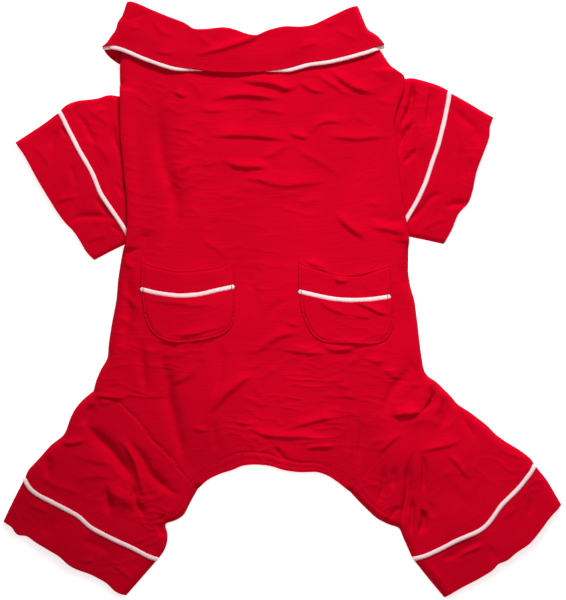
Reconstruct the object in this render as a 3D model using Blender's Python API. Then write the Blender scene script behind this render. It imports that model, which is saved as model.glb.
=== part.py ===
"""A small dog's pyjama jumpsuit in red jersey with white piping, lying flat with its back up.

Metres, +Z up. X runs across the back and +Y to the collar. The garment is hollow: a back panel and a
belly panel sewn at the sides, two sleeves, two hind legs and their cuffs, a turned-down collar and
two patch pockets. Each is a wall of cloth. Piping runs round each cuff, the collar and the pockets.
"""

import math

import bmesh
import bpy
import numpy as np

MM = 0.001

# Cloth, seams and piping
WALL = 1.2 * MM
CUFF_WALL = 1.6 * MM
POCKET_WALL = 1.0 * MM
SEAM_GAP = 0.3 * MM
ROOT_GAP = 0.45 * MM
CUFF_GAP = 0.8 * MM
PIPING = 3.0 * MM

# Heights of the cloth above the surface that it lies on
BODY_HEIGHT = 13.5 * MM
SLEEVE_HEIGHT = 8.0 * MM
SIDE_ROLL = 9.0 * MM
SLEEVE_ROLL = 6.0 * MM
COLLAR_ROLL = 3.5 * MM
FOOT_HEIGHT = 2.5 * MM
RAMP = 9.0 * MM

# Body, laid flat
BACK_LENGTH = 243.0 * MM
NECK_WIDTH = 143.0 * MM
HIP_WIDTH = 225.6 * MM
SEAT_WIDTH = 98.8 * MM
SEAT_DROP = 66.6 * MM
BELLY_END = 0.84
# How the body leans: the neck's and the seat's middles from the hips' middle, and their turns
NECK_SHIFT = -16.6 * MM
SEAT_SHIFT = 4.9 * MM
NECK_TURN = -0.5
HIP_TURN = 1.0
SEAT_TURN = -1.1

# Legs, sleeves and cuffs
LEG_LENGTH = 65.6 * MM
ANKLE_WIDTH = 101.0 * MM
LEG_CUFF = 31.9 * MM
LEG_CUFF_WIDTH = 96.1 * MM
ARMHOLE_TOP = 54.0 * MM
ARMHOLE_DEPTH = 94.4 * MM
ARMHOLE_TUCK = 15.0 * MM
ARMHOLE_CLEAR = 0.9 * MM
SLEEVE_LENGTH = 23.8 * MM
WRIST_WIDTH = 97.0 * MM
SLEEVE_CUFF = 31.7 * MM
SLEEVE_CUFF_WIDTH = 90.6 * MM

# Collar and pockets
COLLAR_FOLD_WIDTH = 150.5 * MM
COLLAR_FALL_WIDTH = 184.8 * MM
COLLAR_DEPTH = 26.5 * MM
COLLAR_RISE = 7.2 * MM
COLLAR_LIP = 2.7 * MM
COLLAR_FOLD_TURN = -1.0
COLLAR_FALL_TURN = 0.6
POCKET_WIDTH = 59.0 * MM
POCKET_DEPTH = 32.0 * MM
POCKET_BAND = 18.0 * MM
POCKET_SPREAD = 102.0 * MM
POCKET_RISE = 63.0 * MM

# Fineness of the faces
ROLL_STEPS = 3
BODY_COLUMNS = 17
BELLY_COLUMNS = 7
LIMB_COLUMNS = 8
COLLAR_COLUMNS = 15
BODY_ROWS = 17
LEG_ROWS = 7
SLEEVE_ROWS = 4
CUFF_ROWS = 4
COLLAR_ROWS = 5
POCKET_ROWS = 5
POCKET_COLUMNS = 9
MERGE = 0.01 * MM

# Outlines. Each point is (along, aside), shares of the straight line between the ends of its run;
# aside is positive to the right hand of the travel.
SIDE_LEFT = [(0.065, 0.012), (0.14, 0.016), (0.323, -0.003), (0.484, -0.038), (0.605, -0.046),
             (0.702, -0.034), (0.875, -0.027), (0.943, -0.013)]
SIDE_RIGHT = [(0.066, -0.025), (0.108, -0.055), (0.15, -0.07), (0.193, -0.095), (0.308, -0.04),
              (0.382, -0.033), (0.477, -0.021), (0.599, -0.013), (0.694, 0.01), (0.899, 0.027),
              (0.955, 0.03)]
NECK = [(0.132, 0.044), (0.287, 0.106), (0.451, 0.1), (0.597, 0.122), (0.769, 0.084), (0.905, 0.046)]
REAR_HEM = [(0.058, -0.047), (0.202, -0.116), (0.313, -0.164), (0.431, -0.17), (0.563, -0.136),
            (0.774, -0.127), (0.86, -0.102)]
SEAM_LEFT = [(0.18, -0.073), (0.401, -0.05), (0.838, -0.011)]
SEAM_RIGHT = [(0.148, -0.013), (0.467, 0.0), (0.68, 0.008)]
COLLAR_FOLD = [(0.037, 0.002), (0.106, 0.035), (0.254, 0.091), (0.294, 0.121), (0.423, 0.107),
               (0.566, 0.144), (0.691, 0.098), (0.807, 0.092), (0.893, 0.047)]
COLLAR_FALL = [(0.063, 0.004), (0.194, 0.06), (0.32, 0.089), (0.468, 0.1), (0.654, 0.091),
               (0.792, 0.064), (0.933, 0.027)]
COLLAR_FOLD_UNDER = [(0.2, 0.08), (0.4, 0.14), (0.6, 0.15), (0.8, 0.105)]
COLLAR_FALL_UNDER = [(0.062, 0.063), (0.2, 0.105), (0.5, 0.12), (0.8, 0.09), (0.95, 0.045)]
POCKET_SAG = [(0.2, 0.06), (0.5, 0.095), (0.8, 0.06)]
POCKET_SIDE = [(0.512, 0.127), (0.8, 0.084)]
COLLAR_END_LEFT = [(0.314, -0.065), (0.482, -0.044), (0.771, -0.05)]
COLLAR_END_RIGHT = [(0.278, 0.074), (0.547, 0.142), (0.791, 0.03)]

# Each limb: the place of its cuff seam from its root, then its outlines as above.
# length, width and the like are shares of the sizes of the same names; angles are degrees from +X,
# of the way to the cuff seam's middle, of that seam, of the way to the hem's middle and of the hem
LEGS = {
    "left": {
        "length": 0.94, "angle": -124.5, "width": 1.009, "seam_angle": -31.5,
        "cuff_angle": -123.9, "cuff_length": 1.006, "cuff_width": 0.974, "hem_angle": -30.9,
        "outer": [(0.24, 0.031), (0.439, -0.033), (0.627, -0.001), (0.82, 0.008)],
        "inner": [(0.256, -0.001), (0.425, 0.018), (0.593, 0.13), (0.685, 0.05), (0.825, -0.007)],
        "seam": [(0.247, 0.036), (0.426, 0.023), (0.522, 0.046), (0.673, 0.036)],
        "hem": [(0.12, 0.025), (0.191, -0.009), (0.352, 0.0), (0.55, 0.019), (0.713, -0.006),
                (0.84, -0.01)],
    },
    "right": {
        "length": 1.062, "angle": -42.9, "width": 0.99, "seam_angle": -141.9,
        "cuff_angle": -52.3, "cuff_length": 0.99, "cuff_width": 1.026, "hem_angle": -140.8,
        "outer": [(0.202, 0.032), (0.329, 0.011), (0.614, 0.016), (0.839, -0.014)],
        "inner": [(0.162, 0.003), (0.404, -0.009), (0.635, -0.11), (0.743, -0.085)],
        "seam": [(0.181, -0.056), (0.348, -0.074), (0.503, -0.115), (0.712, -0.086)],
        "hem": [(0.126, -0.029), (0.344, -0.077), (0.532, -0.068), (0.626, -0.058), (0.75, -0.043)],
    },
}
SLEEVES = {
    "left": {
        "start": 0.991, "depth": 0.972, "length": 1.126, "angle": -166.0, "width": 0.99,
        "seam_angle": -60.8, "cuff_angle": -147.9, "cuff_length": 0.984, "cuff_width": 1.021,
        "hem_angle": -56.0,
        "outer": [(0.231, 0.069), (0.335, 0.046), (0.692, 0.098)],
        "inner": [],
        "seam": [(0.315, 0.005), (0.623, 0.022), (0.788, 0.005)],
        "hem": [(0.256, 0.01), (0.468, 0.023), (0.67, 0.024), (0.75, 0.006)],
    },
    "right": {
        "start": 1.007, "depth": 1.028, "length": 0.874, "angle": -18.2, "width": 1.013,
        "seam_angle": -110.1, "cuff_angle": -21.9, "cuff_length": 1.016, "cuff_width": 0.979,
        "hem_angle": -111.5,
        "outer": [(0.137, -0.083), (0.614, -0.083)],
        "inner": [],
        "seam": [(0.084, -0.017), (0.365, -0.048), (0.612, -0.054), (0.741, -0.045)],
        "hem": [(0.127, -0.018), (0.392, -0.025), (0.554, -0.053), (0.758, -0.015), (0.883, -0.017)],
    },
}

# Pockets: their places as shares of POCKET_SPREAD and POCKET_RISE from the middle of the hips
POCKETS = {
    "left": {"across": -0.507, "up": 1.038, "tilt": 0.8},
    "right": {"across": 0.494, "up": 0.965, "tilt": -3.0},
}

# Crown of the body and legs: (down, height), shares of the body's whole length and of BODY_HEIGHT
CROWN = [(-0.1, 0.82), (0.05, 0.82), (0.2, 1.0), (0.62, 1.0), (0.8, 0.9), (1.0, 0.74), (1.3, 0.68),
         (2.0, 0.66)]

# Main folds of the back and legs, ridges above and valleys below the crown.
# across, up: the middle of the fold from the middle of the hips, shares of HIP_WIDTH and BACK_LENGTH;
# turn: degrees from +X; reach and half_width: shares of BACK_LENGTH; rise: share of BODY_HEIGHT
FOLDS = [
    # across, up, turn, reach, half_width, rise
    (-0.12, 0.655, -2, 0.16, 0.022, -0.10),
    (0.12, 0.665, 3, 0.15, 0.022, -0.09),
    (0.0, 0.71, 0, 0.28, 0.030, 0.11),
    (0.14, 0.60, -30, 0.13, 0.026, -0.10),
    (0.02, 0.54, 6, 0.13, 0.028, 0.10),
    (-0.26, 0.58, 58, 0.11, 0.026, -0.09),
    (0.21, 0.42, -45, 0.12, 0.028, -0.11),
    (-0.15, 0.42, -44, 0.12, 0.030, 0.09),
    (-0.08, -0.01, 52, 0.15, 0.030, -0.12),
    (-0.05, 0.03, 50, 0.15, 0.032, 0.11),
    (0.07, -0.13, -10, 0.20, 0.026, -0.11),
    (0.14, -0.05, 28, 0.14, 0.026, -0.10),
    (-0.17, -0.10, -74, 0.16, 0.030, -0.12),
    (0.05, 0.10, -6, 0.18, 0.030, 0.08),
    (0.33, -0.12, 70, 0.14, 0.032, -0.12),
    (0.30, -0.25, 84, 0.16, 0.030, -0.13),
    (0.36, -0.27, 80, 0.15, 0.030, 0.12),
    (-0.36, -0.24, -58, 0.17, 0.030, -0.14),
    (-0.41, -0.20, -54, 0.17, 0.032, 0.12),
    (-0.30, -0.31, -70, 0.14, 0.028, -0.11),
]
FOLD_FADE = 12.0 * MM

RED = (0.60, 0.002, 0.018)
WHITE = (0.86, 0.80, 0.79)
CLOTH_ROUGHNESS = 0.85
PIPING_ROUGHNESS = 0.7


def smooth_step(value):
    share = np.clip(value, 0.0, 1.0)
    return share * share * (3.0 - 2.0 * share)


def heading(degrees):
    return np.array([math.cos(math.radians(degrees)), math.sin(math.radians(degrees))])


def run(start, end, bends, per_span=8):
    """A smooth edge from start to end through its bends, as a fine line of points."""
    start, end = np.array(start, float), np.array(end, float)
    chord = end - start
    aside = np.array([chord[1], -chord[0]])
    knots = [start] + [start + chord * a + aside * s for a, s in bends] + [end]
    if len(knots) == 2:
        return np.array([start + chord * t for t in np.linspace(0, 1, per_span + 1)])
    knots = [2 * knots[0] - knots[1]] + knots + [2 * knots[-1] - knots[-2]]
    line = []
    for before, here, there, after in zip(knots, knots[1:], knots[2:], knots[3:]):
        for t in np.linspace(0, 1, per_span, endpoint=False):
            line.append(0.5 * (2 * here + (there - before) * t
                               + (2 * before - 5 * here + 4 * there - after) * t * t
                               + (3 * here - before - 3 * there + after) * t ** 3))
    line.append(end)
    return np.array(line)


def length_of(line):
    return float(np.linalg.norm(np.diff(line, axis=0), axis=1).sum())


def at(line, share):
    """The point at a share of a line's length."""
    steps = np.linalg.norm(np.diff(line, axis=0), axis=1)
    along = np.concatenate([[0.0], np.cumsum(steps)]) / steps.sum()
    return np.array([np.interp(share, along, line[:, k]) for k in range(2)])


def cut_back(line, start, end):
    """A line without its first and last lengths."""
    long = length_of(line)
    return at(line, np.linspace(start / long, 1 - end / long, len(line))).T


def moved(line, start, end):
    """An edge moved to a new start and end, and in proportion between them."""
    share = np.linspace(0, 1, len(line))[:, None]
    return line + (1 - share) * (start - line[0]) + share * (end - line[-1])


def columns(width, roll, middle):
    """Shares across a width: close together on each rolled edge and even between them."""
    edge = [roll / width * (1 - math.cos(math.pi / 2 * k / ROLL_STEPS)) for k in range(ROLL_STEPS)]
    inner = np.linspace(roll / width, 1 - roll / width, middle)
    return np.array(edge + list(inner) + [1 - e for e in reversed(edge)])


def patch(near, far, left, right, rows, across):
    """A four-sided piece between its edges; across(row) gives the shares of each row's columns."""
    corners = (at(near, 0), at(near, 1), at(far, 0), at(far, 1))
    grid = []
    for v in rows:
        side_a, side_b = at(left, v), at(right, v)
        grid.append([(1 - u) * side_a + u * side_b + (1 - v) * at(near, u) + v * at(far, u)
                     - (1 - v) * ((1 - u) * corners[0] + u * corners[1])
                     - v * ((1 - u) * corners[2] + u * corners[3]) for u in across(v)])
    return np.array(grid)


def distance_to(points, lines):
    """How far each point is from the nearest of the lines."""
    best = np.full(len(points), np.inf)
    for line in lines:
        a, d = line[:-1], np.diff(line, axis=0)
        rel = points[:, None] - a
        t = np.clip((rel * d).sum(2) / np.maximum((d * d).sum(1), 1e-12), 0, 1)
        best = np.minimum(best, np.linalg.norm(rel - t[..., None] * d, axis=2).min(1))
    return best


def rolled(distance, full, roll, foot):
    """The height of cloth that rolls up from an edge: straight up its foot, then a quarter round."""
    share = np.clip(1 - distance / roll, 0, 1)
    return foot + (full - foot) * np.sqrt(1 - share * share)


def corner_pair(middle, width, turn):
    half = heading(turn) * width / 2
    return middle - half, middle + half


# The body's corners, with the middle of the hips at the origin, and its edges
hips = corner_pair(np.zeros(2), HIP_WIDTH, HIP_TURN)
necks = corner_pair(np.array([NECK_SHIFT, BACK_LENGTH]), NECK_WIDTH, NECK_TURN)
seats = corner_pair(np.array([SEAT_SHIFT, -SEAT_DROP]), SEAT_WIDTH, SEAT_TURN)
side_lines = {"left": run(necks[0], hips[0], SIDE_LEFT), "right": run(necks[1], hips[1], SIDE_RIGHT)}
seam_lines = {"left": run(hips[0], seats[0], SEAM_LEFT), "right": run(hips[1], seats[1], SEAM_RIGHT)}
neck_edge = run(necks[0], necks[1], NECK)
rear_hem = run(seats[0], seats[1], REAR_HEM)
hip_line = run(hips[0], hips[1], [])
side_length = (length_of(side_lines["left"]) + length_of(side_lines["right"])) / 2
seam_length = (length_of(seam_lines["left"]) + length_of(seam_lines["right"])) / 2
INWARD = {"left": 1, "right": -1}


def limb_edges(root_outer, root_inner, limb, sizes):
    """The outer, inner, cuff seam and cuff edges of a leg or sleeve, from its root's two ends."""
    middle = (root_outer + root_inner) / 2 + heading(limb["angle"]) * sizes["length"] * limb["length"]
    outer, inner = corner_pair(middle, sizes["width"] * limb["width"], limb["seam_angle"])
    hem_middle = middle + heading(limb["cuff_angle"]) * sizes["cuff"] * limb["cuff_length"]
    hem_outer, hem_inner = corner_pair(hem_middle, sizes["cuff_width"] * limb["cuff_width"],
                                       limb["hem_angle"])
    return {
        "outer": run(root_outer, outer, limb["outer"]),
        "inner": run(root_inner, inner, limb["inner"]),
        "seam": run(outer, inner, limb["seam"]),
        "cuff_outer": run(outer, hem_outer, []),
        "cuff_inner": run(inner, hem_inner, []),
        "hem": run(hem_outer, hem_inner, limb["hem"]),
    }


def outline_of(edges):
    return [edges[name] for name in ("outer", "inner", "cuff_outer", "cuff_inner")]


leg_sizes = {"length": LEG_LENGTH, "width": ANKLE_WIDTH, "cuff": LEG_CUFF,
             "cuff_width": LEG_CUFF_WIDTH}
sleeve_sizes = {"length": SLEEVE_LENGTH, "width": WRIST_WIDTH, "cuff": SLEEVE_CUFF,
                "cuff_width": SLEEVE_CUFF_WIDTH}
legs = {"left": limb_edges(hips[0], seats[0], LEGS["left"], leg_sizes),
        "right": limb_edges(hips[1], seats[1], LEGS["right"], leg_sizes)}
body_outline = list(side_lines.values()) + outline_of(legs["left"]) + outline_of(legs["right"])


def inset(line, share, distance, inward):
    """The point at a share of a line's length, moved square to it by a distance to its inner side."""
    tangent = at(line, min(share + 0.01, 1.0)) - at(line, max(share - 0.01, 0.0))
    square = np.array([-tangent[1], tangent[0]]) / np.linalg.norm(tangent)
    return at(line, share) + square * distance * inward


def share_at_height(line, y):
    """The share of a line's length at which it comes down to y."""
    shares = np.linspace(0, 1, 401)
    return float(np.interp(-y, -at(line, shares)[1], shares))


def armhole(name):
    """Where a sleeve meets the body's side: its shares down the side, its tucked root and edges."""
    line, place = side_lines[name], SLEEVES[name]
    first = ARMHOLE_TOP * place["start"] / side_length
    last = first + ARMHOLE_DEPTH * place["depth"] / side_length
    root = []
    for share in np.linspace(0, 1, LIMB_COLUMNS + 1):
        tuck = WALL + (ARMHOLE_TUCK - WALL) * share
        root.append(inset(line, first + (last - first) * share, tuck, INWARD[name]))
    edges = limb_edges(root[0], root[-1], place, sleeve_sizes)
    covered = last
    for point in np.concatenate([edges["inner"], edges["cuff_inner"]]):
        share = share_at_height(line, point[1])
        if (point[0] - at(line, share)[0]) * INWARD[name] > -WALL:
            covered = max(covered, share)
    return {"first": first, "last": last, "covered": covered, "root": np.array(root), "edges": edges}


armholes = {name: armhole(name) for name in SLEEVES}


def crown(points):
    """The full height of the body and legs at each place, from the neck down to the cuffs."""
    down = (BACK_LENGTH - points[:, 1]) / (BACK_LENGTH + SEAT_DROP)
    table = np.array(CROWN)
    return BODY_HEIGHT * np.interp(down, table[:, 0], table[:, 1])


def pocket_frame(name):
    """The middle of a pocket's piping line, and its directions across and up."""
    place = POCKETS[name]
    middle = np.array([place["across"] * POCKET_SPREAD, place["up"] * POCKET_RISE])
    return middle, heading(place["tilt"]), heading(place["tilt"] + 90)


def calm(points):
    """0 on the pockets, under the collar and at the seams, where no fold is, and 1 well away."""
    still = list(seam_lines.values()) + [rear_hem] + [edges["seam"] for edges in legs.values()]
    share = smooth_step(distance_to(points, still) / FOLD_FADE)
    for name in POCKETS:
        middle, right, up = pocket_frame(name)
        x, y = (points - middle) @ right, (points - middle) @ up
        outside_x = np.abs(x) - POCKET_WIDTH / 2
        outside_y = np.maximum(y - POCKET_BAND, -POCKET_DEPTH - y) - PIPING
        share *= smooth_step(np.maximum(outside_x, outside_y) / FOLD_FADE)
    return share * smooth_step((collar_fall[:, 1].min() - PIPING - points[:, 1]) / FOLD_FADE)


def folds(points):
    rise = np.zeros(len(points))
    for across, up, turn, reach, half_width, height in FOLDS:
        rel = points - np.array([across * HIP_WIDTH, up * BACK_LENGTH])
        ahead, aside = rel @ heading(turn), rel @ heading(turn + 90)
        along = np.clip(1 - (ahead / (reach * BACK_LENGTH)) ** 2, 0, 1)
        rise += height * along ** 2 * np.exp(-((aside / (half_width * BACK_LENGTH)) ** 2))
    return BODY_HEIGHT * rise * calm(points)


def body_top(points, base=0.0):
    """The outer height of the body and legs, whose edge stands on a foot that starts at base."""
    away = distance_to(points, body_outline)
    rise = rolled(away, crown(points), SIDE_ROLL, base + FOOT_HEIGHT)
    return rise + folds(points) * smooth_step(away / SIDE_ROLL)


def sleeve_top(edges):
    return lambda points: rolled(distance_to(points, outline_of(edges)), SLEEVE_HEIGHT, SLEEVE_ROLL,
                                 FOOT_HEIGHT)


# The collar's edges, from the fold at its top to its fall, above and below the body
fold_middle = np.array([NECK_SHIFT, BACK_LENGTH + COLLAR_RISE])
fold_ends = corner_pair(fold_middle, COLLAR_FOLD_WIDTH, COLLAR_FOLD_TURN)
fall_ends = corner_pair(fold_middle - np.array([0.0, COLLAR_DEPTH]), COLLAR_FALL_WIDTH,
                        COLLAR_FALL_TURN)
collar_fold = run(*fold_ends, COLLAR_FOLD)
collar_fall = run(*fall_ends, COLLAR_FALL)
collar_fold_under = run(*fold_ends, COLLAR_FOLD_UNDER)
collar_fall_under = run(*fall_ends, COLLAR_FALL_UNDER)
collar_ends = [run(fold_ends[0], fall_ends[0], COLLAR_END_LEFT),
               run(fold_ends[1], fall_ends[1], COLLAR_END_RIGHT)]
# The body's edges lie on the collar's under half down to here, clear of its piping
collar_reach = share_at_height(side_lines["left"], collar_fall_under[:, 1].min() - PIPING)


def foot_of(share, name):
    """How high the body's side edge stands off the surface, at a share down its side."""
    hole = armholes[name]
    outside = max(hole["first"] - share, share - hole["covered"]) * side_length - 2 * SEAM_GAP
    over_sleeve = 1 - smooth_step(outside / RAMP)
    return max(over_sleeve * (SLEEVE_HEIGHT + (PIPING - WALL) / 2 + SEAM_GAP), over_collar(share))


def over_collar(share):
    """How high the body lies on the collar's under half, at a share down its side."""
    return (1 - smooth_step((share - collar_reach) * side_length / RAMP)) * (PIPING + SEAM_GAP)


def new_object(name, data, colour, roughness):
    thing = bpy.data.objects.new(name, data)
    bpy.context.collection.objects.link(thing)
    thing.parent = laid_garment
    material = bpy.data.materials.new(name)
    material.use_nodes = True
    shader = material.node_tree.nodes["Principled BSDF"]
    shader.inputs["Base Color"].default_value = (*colour, 1.0)
    shader.inputs["Roughness"].default_value = roughness
    material.diffuse_color = (*colour, 1.0)
    data.materials.append(material)
    return thing


def cloth(name, rows, wall, closed):
    """A wall of cloth from rows of points on its outer face; closed rows make a tube."""
    bm = bmesh.new()
    verts = [[bm.verts.new(point) for point in row] for row in rows]
    for row, following in zip(verts, verts[1:]):
        for k in range(len(row) if closed else len(row) - 1):
            after = (k + 1) % len(row)
            bm.faces.new((row[k], following[k], following[after], row[after]))
    bmesh.ops.remove_doubles(bm, verts=bm.verts, dist=MERGE)
    mesh = bpy.data.meshes.new(name)
    bm.to_mesh(mesh)
    bm.free()
    mesh.shade_smooth()
    thing = new_object(name, mesh, RED, CLOTH_ROUGHNESS)
    shell = thing.modifiers.new("Wall", "SOLIDIFY")
    shell.thickness = wall
    shell.offset = -1.0
    shell.use_even_offset = True


def piping(name, points, closed):
    """A round covered cord along its points."""
    curve = bpy.data.curves.new(name, "CURVE")
    curve.dimensions = "3D"
    curve.bevel_depth = PIPING / 2
    curve.bevel_resolution = 1
    curve.use_fill_caps = True
    spline = curve.splines.new("POLY")
    spline.points.add(len(points) - 1)
    for slot, point in zip(spline.points, points):
        slot.co = (*point, 1.0)
    spline.use_cyclic_u = closed
    new_object(name, curve, WHITE, PIPING_ROUGHNESS)


def laid(grid, height):
    """A flat grid of places with a height each, or one height for all."""
    return np.concatenate([grid, np.broadcast_to(height, grid.shape[:2])[..., None]], axis=2)


def on_grid(height, grid):
    return height(grid.reshape(-1, 2)).reshape(grid.shape[:2])


def ring(upper, lower, top):
    """Closed rows: across the upper grid, down to the surface and back across the lower grid."""
    above, below = laid(upper, on_grid(top, upper)), laid(lower, 0.0)
    return [list(a) + list(b[::-1]) for a, b in zip(above, below)]


def inner_columns(shares):
    """The edge and middle shares of a row, without those on its rolled edges."""
    return np.concatenate([shares[:1], shares[ROLL_STEPS:-ROLL_STEPS], shares[-1:]])


def tube(near, far, left, right, rows, widths, roll, top):
    def across(v):
        return columns(widths[0] + (widths[1] - widths[0]) * v, roll, LIMB_COLUMNS)

    upper = patch(near, far, left, right, rows, across)
    lower = patch(near, far, left, right, rows, lambda v: inner_columns(across(v)))
    return ring(upper, lower, top)


def piping_round(name, line, under, shares, inset, top, lift):
    """Piping round a flattened tube: along the line at the heights top, and back along under."""
    long = length_of(line)
    shares = inset / long + shares * (1 - 2 * inset / long)
    upper = at(line, shares).T
    lower = at(under, inner_columns(shares)).T[::-1]
    radius = PIPING / 2
    heights = radius + top(upper) * lift
    piping(name, [(*p, z) for p, z in zip(upper, heights)] + [(*p, radius) for p in lower], True)


def limb(side, names, edges, near, near_width, roll, top, full, wall_rows):
    """A leg or sleeve, its cuff, and the piping in the seam between them."""
    clear = PIPING / 2 + CUFF_GAP
    turned = side == "right"
    seam_width = length_of(edges["seam"])
    outer, inner = (cut_back(edges[edge], ROOT_GAP, clear) for edge in ("outer", "inner"))
    wall = tube(moved(near, outer[0], inner[0]), moved(edges["seam"], outer[-1], inner[-1]),
                outer, inner, np.linspace(0, 1, wall_rows), (near_width, seam_width), roll, top)
    outer, inner = (cut_back(edges[edge], clear, 0.0) for edge in ("cuff_outer", "cuff_inner"))
    cuff = tube(moved(edges["seam"], outer[0], inner[0]), edges["hem"], outer, inner,
                np.linspace(0, 1, CUFF_ROWS), (seam_width, length_of(edges["hem"])), roll, top)
    cloth(names[0], [row[::-1] for row in wall] if turned else wall, WALL, True)
    cloth(names[1], [row[::-1] for row in cuff] if turned else cuff, CUFF_WALL, True)
    # The piping's middle runs in the middle of the wall on top and stands on the surface below
    lift = (full - WALL / 2 - PIPING / 2) / full
    piping_round(names[2], edges["seam"], edges["seam"], columns(seam_width, roll, LIMB_COLUMNS),
                 WALL / 2, top, lift)


def panel_shares():
    """Where the rows of both panels cross the sides: even, and where the sides' height changes."""
    ramp = RAMP / side_length
    extra = [collar_reach, collar_reach + ramp, 1 - WALL / side_length]
    for hole in armholes.values():
        extra += [hole["first"] - ramp, hole["first"], hole["covered"], hole["covered"] + ramp]
    even = [s for s in np.linspace(0, 1, BODY_ROWS) if s in (0, 1)
            or min(abs(s - e) for e in extra) > 0.3 / BODY_ROWS]
    return np.array(sorted(set(even) | set(extra)))


def back_panel():
    """The whole back, from the neck to the rear hem, with its sides turned down to the surface."""
    shares = panel_shares()
    seat_shares = columns(seam_length, SIDE_ROLL, LIMB_COLUMNS)[1:]

    def across(near, far):
        return lambda v: columns(near + (far - near) * v, SIDE_ROLL, BODY_COLUMNS)

    torso = patch(neck_edge, hip_line, side_lines["left"], side_lines["right"], shares,
                  across(NECK_WIDTH, HIP_WIDTH))
    seat = patch(hip_line, rear_hem, seam_lines["left"], seam_lines["right"], seat_shares,
                 across(HIP_WIDTH, length_of(rear_hem)))
    rows = []
    for share, places in zip(shares[:-1], torso):
        feet = foot_of(share, "left"), foot_of(share, "right")
        left_half = np.arange(len(places)) < len(places) / 2
        heights = body_top(places, np.where(left_half, *feet))
        row = [(*p, z) for p, z in zip(places, heights)]
        rows.append([(*places[0], feet[0])] + row + [(*places[-1], feet[1])])
    # The turned-down sides end at the hips
    for places in [torso[-1], *seat]:
        row = [(*p, z) for p, z in zip(places, body_top(places))]
        rows.append(row[:1] + row + row[-1:])
    cloth("back_panel", rows, WALL, False)


def belly_panel():
    """The belly, flat on the surface, inside the back panel's sides and clear of the sleeves."""
    clear = ARMHOLE_CLEAR / side_length
    shares = set(panel_shares())
    for hole in armholes.values():
        shares |= {hole["last"] + 2 * clear, hole["covered"] + 2 * clear}

    def inset_at(share, hole):
        if share <= hole["first"] or share >= hole["covered"] + 2 * clear:
            return WALL + SEAM_GAP
        places = [hole["first"], hole["last"], hole["last"] + 2 * clear, hole["covered"] + 2 * clear]
        sizes = [WALL + ARMHOLE_CLEAR, ARMHOLE_TUCK + ARMHOLE_CLEAR, ARMHOLE_TUCK + ARMHOLE_CLEAR,
                 WALL + SEAM_GAP]
        return float(np.interp(share, places, sizes))

    def even(_):
        return np.linspace(0, 1, BELLY_COLUMNS)

    shares = sorted(shares)
    rows = []
    torso = patch(neck_edge, hip_line, side_lines["left"], side_lines["right"], shares, even)
    for share, places in zip(shares, torso):
        for k, name in ((0, "left"), (-1, "right")):
            places[k] = inset(side_lines[name], share, inset_at(share, armholes[name]), INWARD[name])
        rows.append([(*p, over_collar(share)) for p in places[::-1]])
    # The first seat rows are left out, because the back panel's turned-down sides end there
    seat_shares = [s for s in columns(seam_length, SIDE_ROLL, LIMB_COLUMNS)
                   if 2 * (WALL + SEAM_GAP) / seam_length < s < BELLY_END]
    seat = patch(hip_line, rear_hem, seam_lines["left"], seam_lines["right"],
                 seat_shares + [BELLY_END], even)
    rows += [[(*p, 0.0) for p in row[::-1]] for row in seat]
    cloth("belly_panel", rows, WALL, False)


def collar():
    """The turned-down collar, a loop round the neck: its fall lies on the back and under the belly."""
    clear = PIPING / 2 + SEAM_GAP

    def across(v):
        width = COLLAR_FOLD_WIDTH + (COLLAR_FALL_WIDTH - COLLAR_FOLD_WIDTH) * v
        return columns(width, COLLAR_ROLL, COLLAR_COLUMNS)

    def top(points):
        full = crown(points) + SEAM_GAP + WALL
        return rolled(distance_to(points, collar_ends), full, COLLAR_ROLL, FOOT_HEIGHT)

    rows = np.linspace(0, 1 - clear / COLLAR_DEPTH, COLLAR_ROWS)
    upper = patch(collar_fold, collar_fall, *collar_ends, rows, across)
    lower = patch(collar_fold_under, collar_fall_under, *collar_ends, rows,
                  lambda v: inner_columns(across(v)))
    loops = ring(upper, lower, top)
    # The lip turns in at the fold, over the neck edges of the two panels
    lip_shares = COLLAR_LIP / COLLAR_FOLD_WIDTH
    lip = []
    for x, y, z in loops[0]:
        share = np.clip((x - fold_ends[0][0]) / COLLAR_FOLD_WIDTH, lip_shares, 1 - lip_shares)
        full = float(crown(np.array([[x, y]]))[0]) + SEAM_GAP + WALL
        height = min(max(z, COLLAR_LIP), full - COLLAR_LIP)
        lip.append((fold_ends[0][0] + share * COLLAR_FOLD_WIDTH, y, height))
    cloth("collar", [lip] + loops, WALL, True)
    full = float(crown(fall_ends[0][None])[0]) + SEAM_GAP + WALL
    piping_round("collar_piping", collar_fall, collar_fall_under, across(1.0), PIPING / 2, top,
                 (full - WALL) / full)


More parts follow.
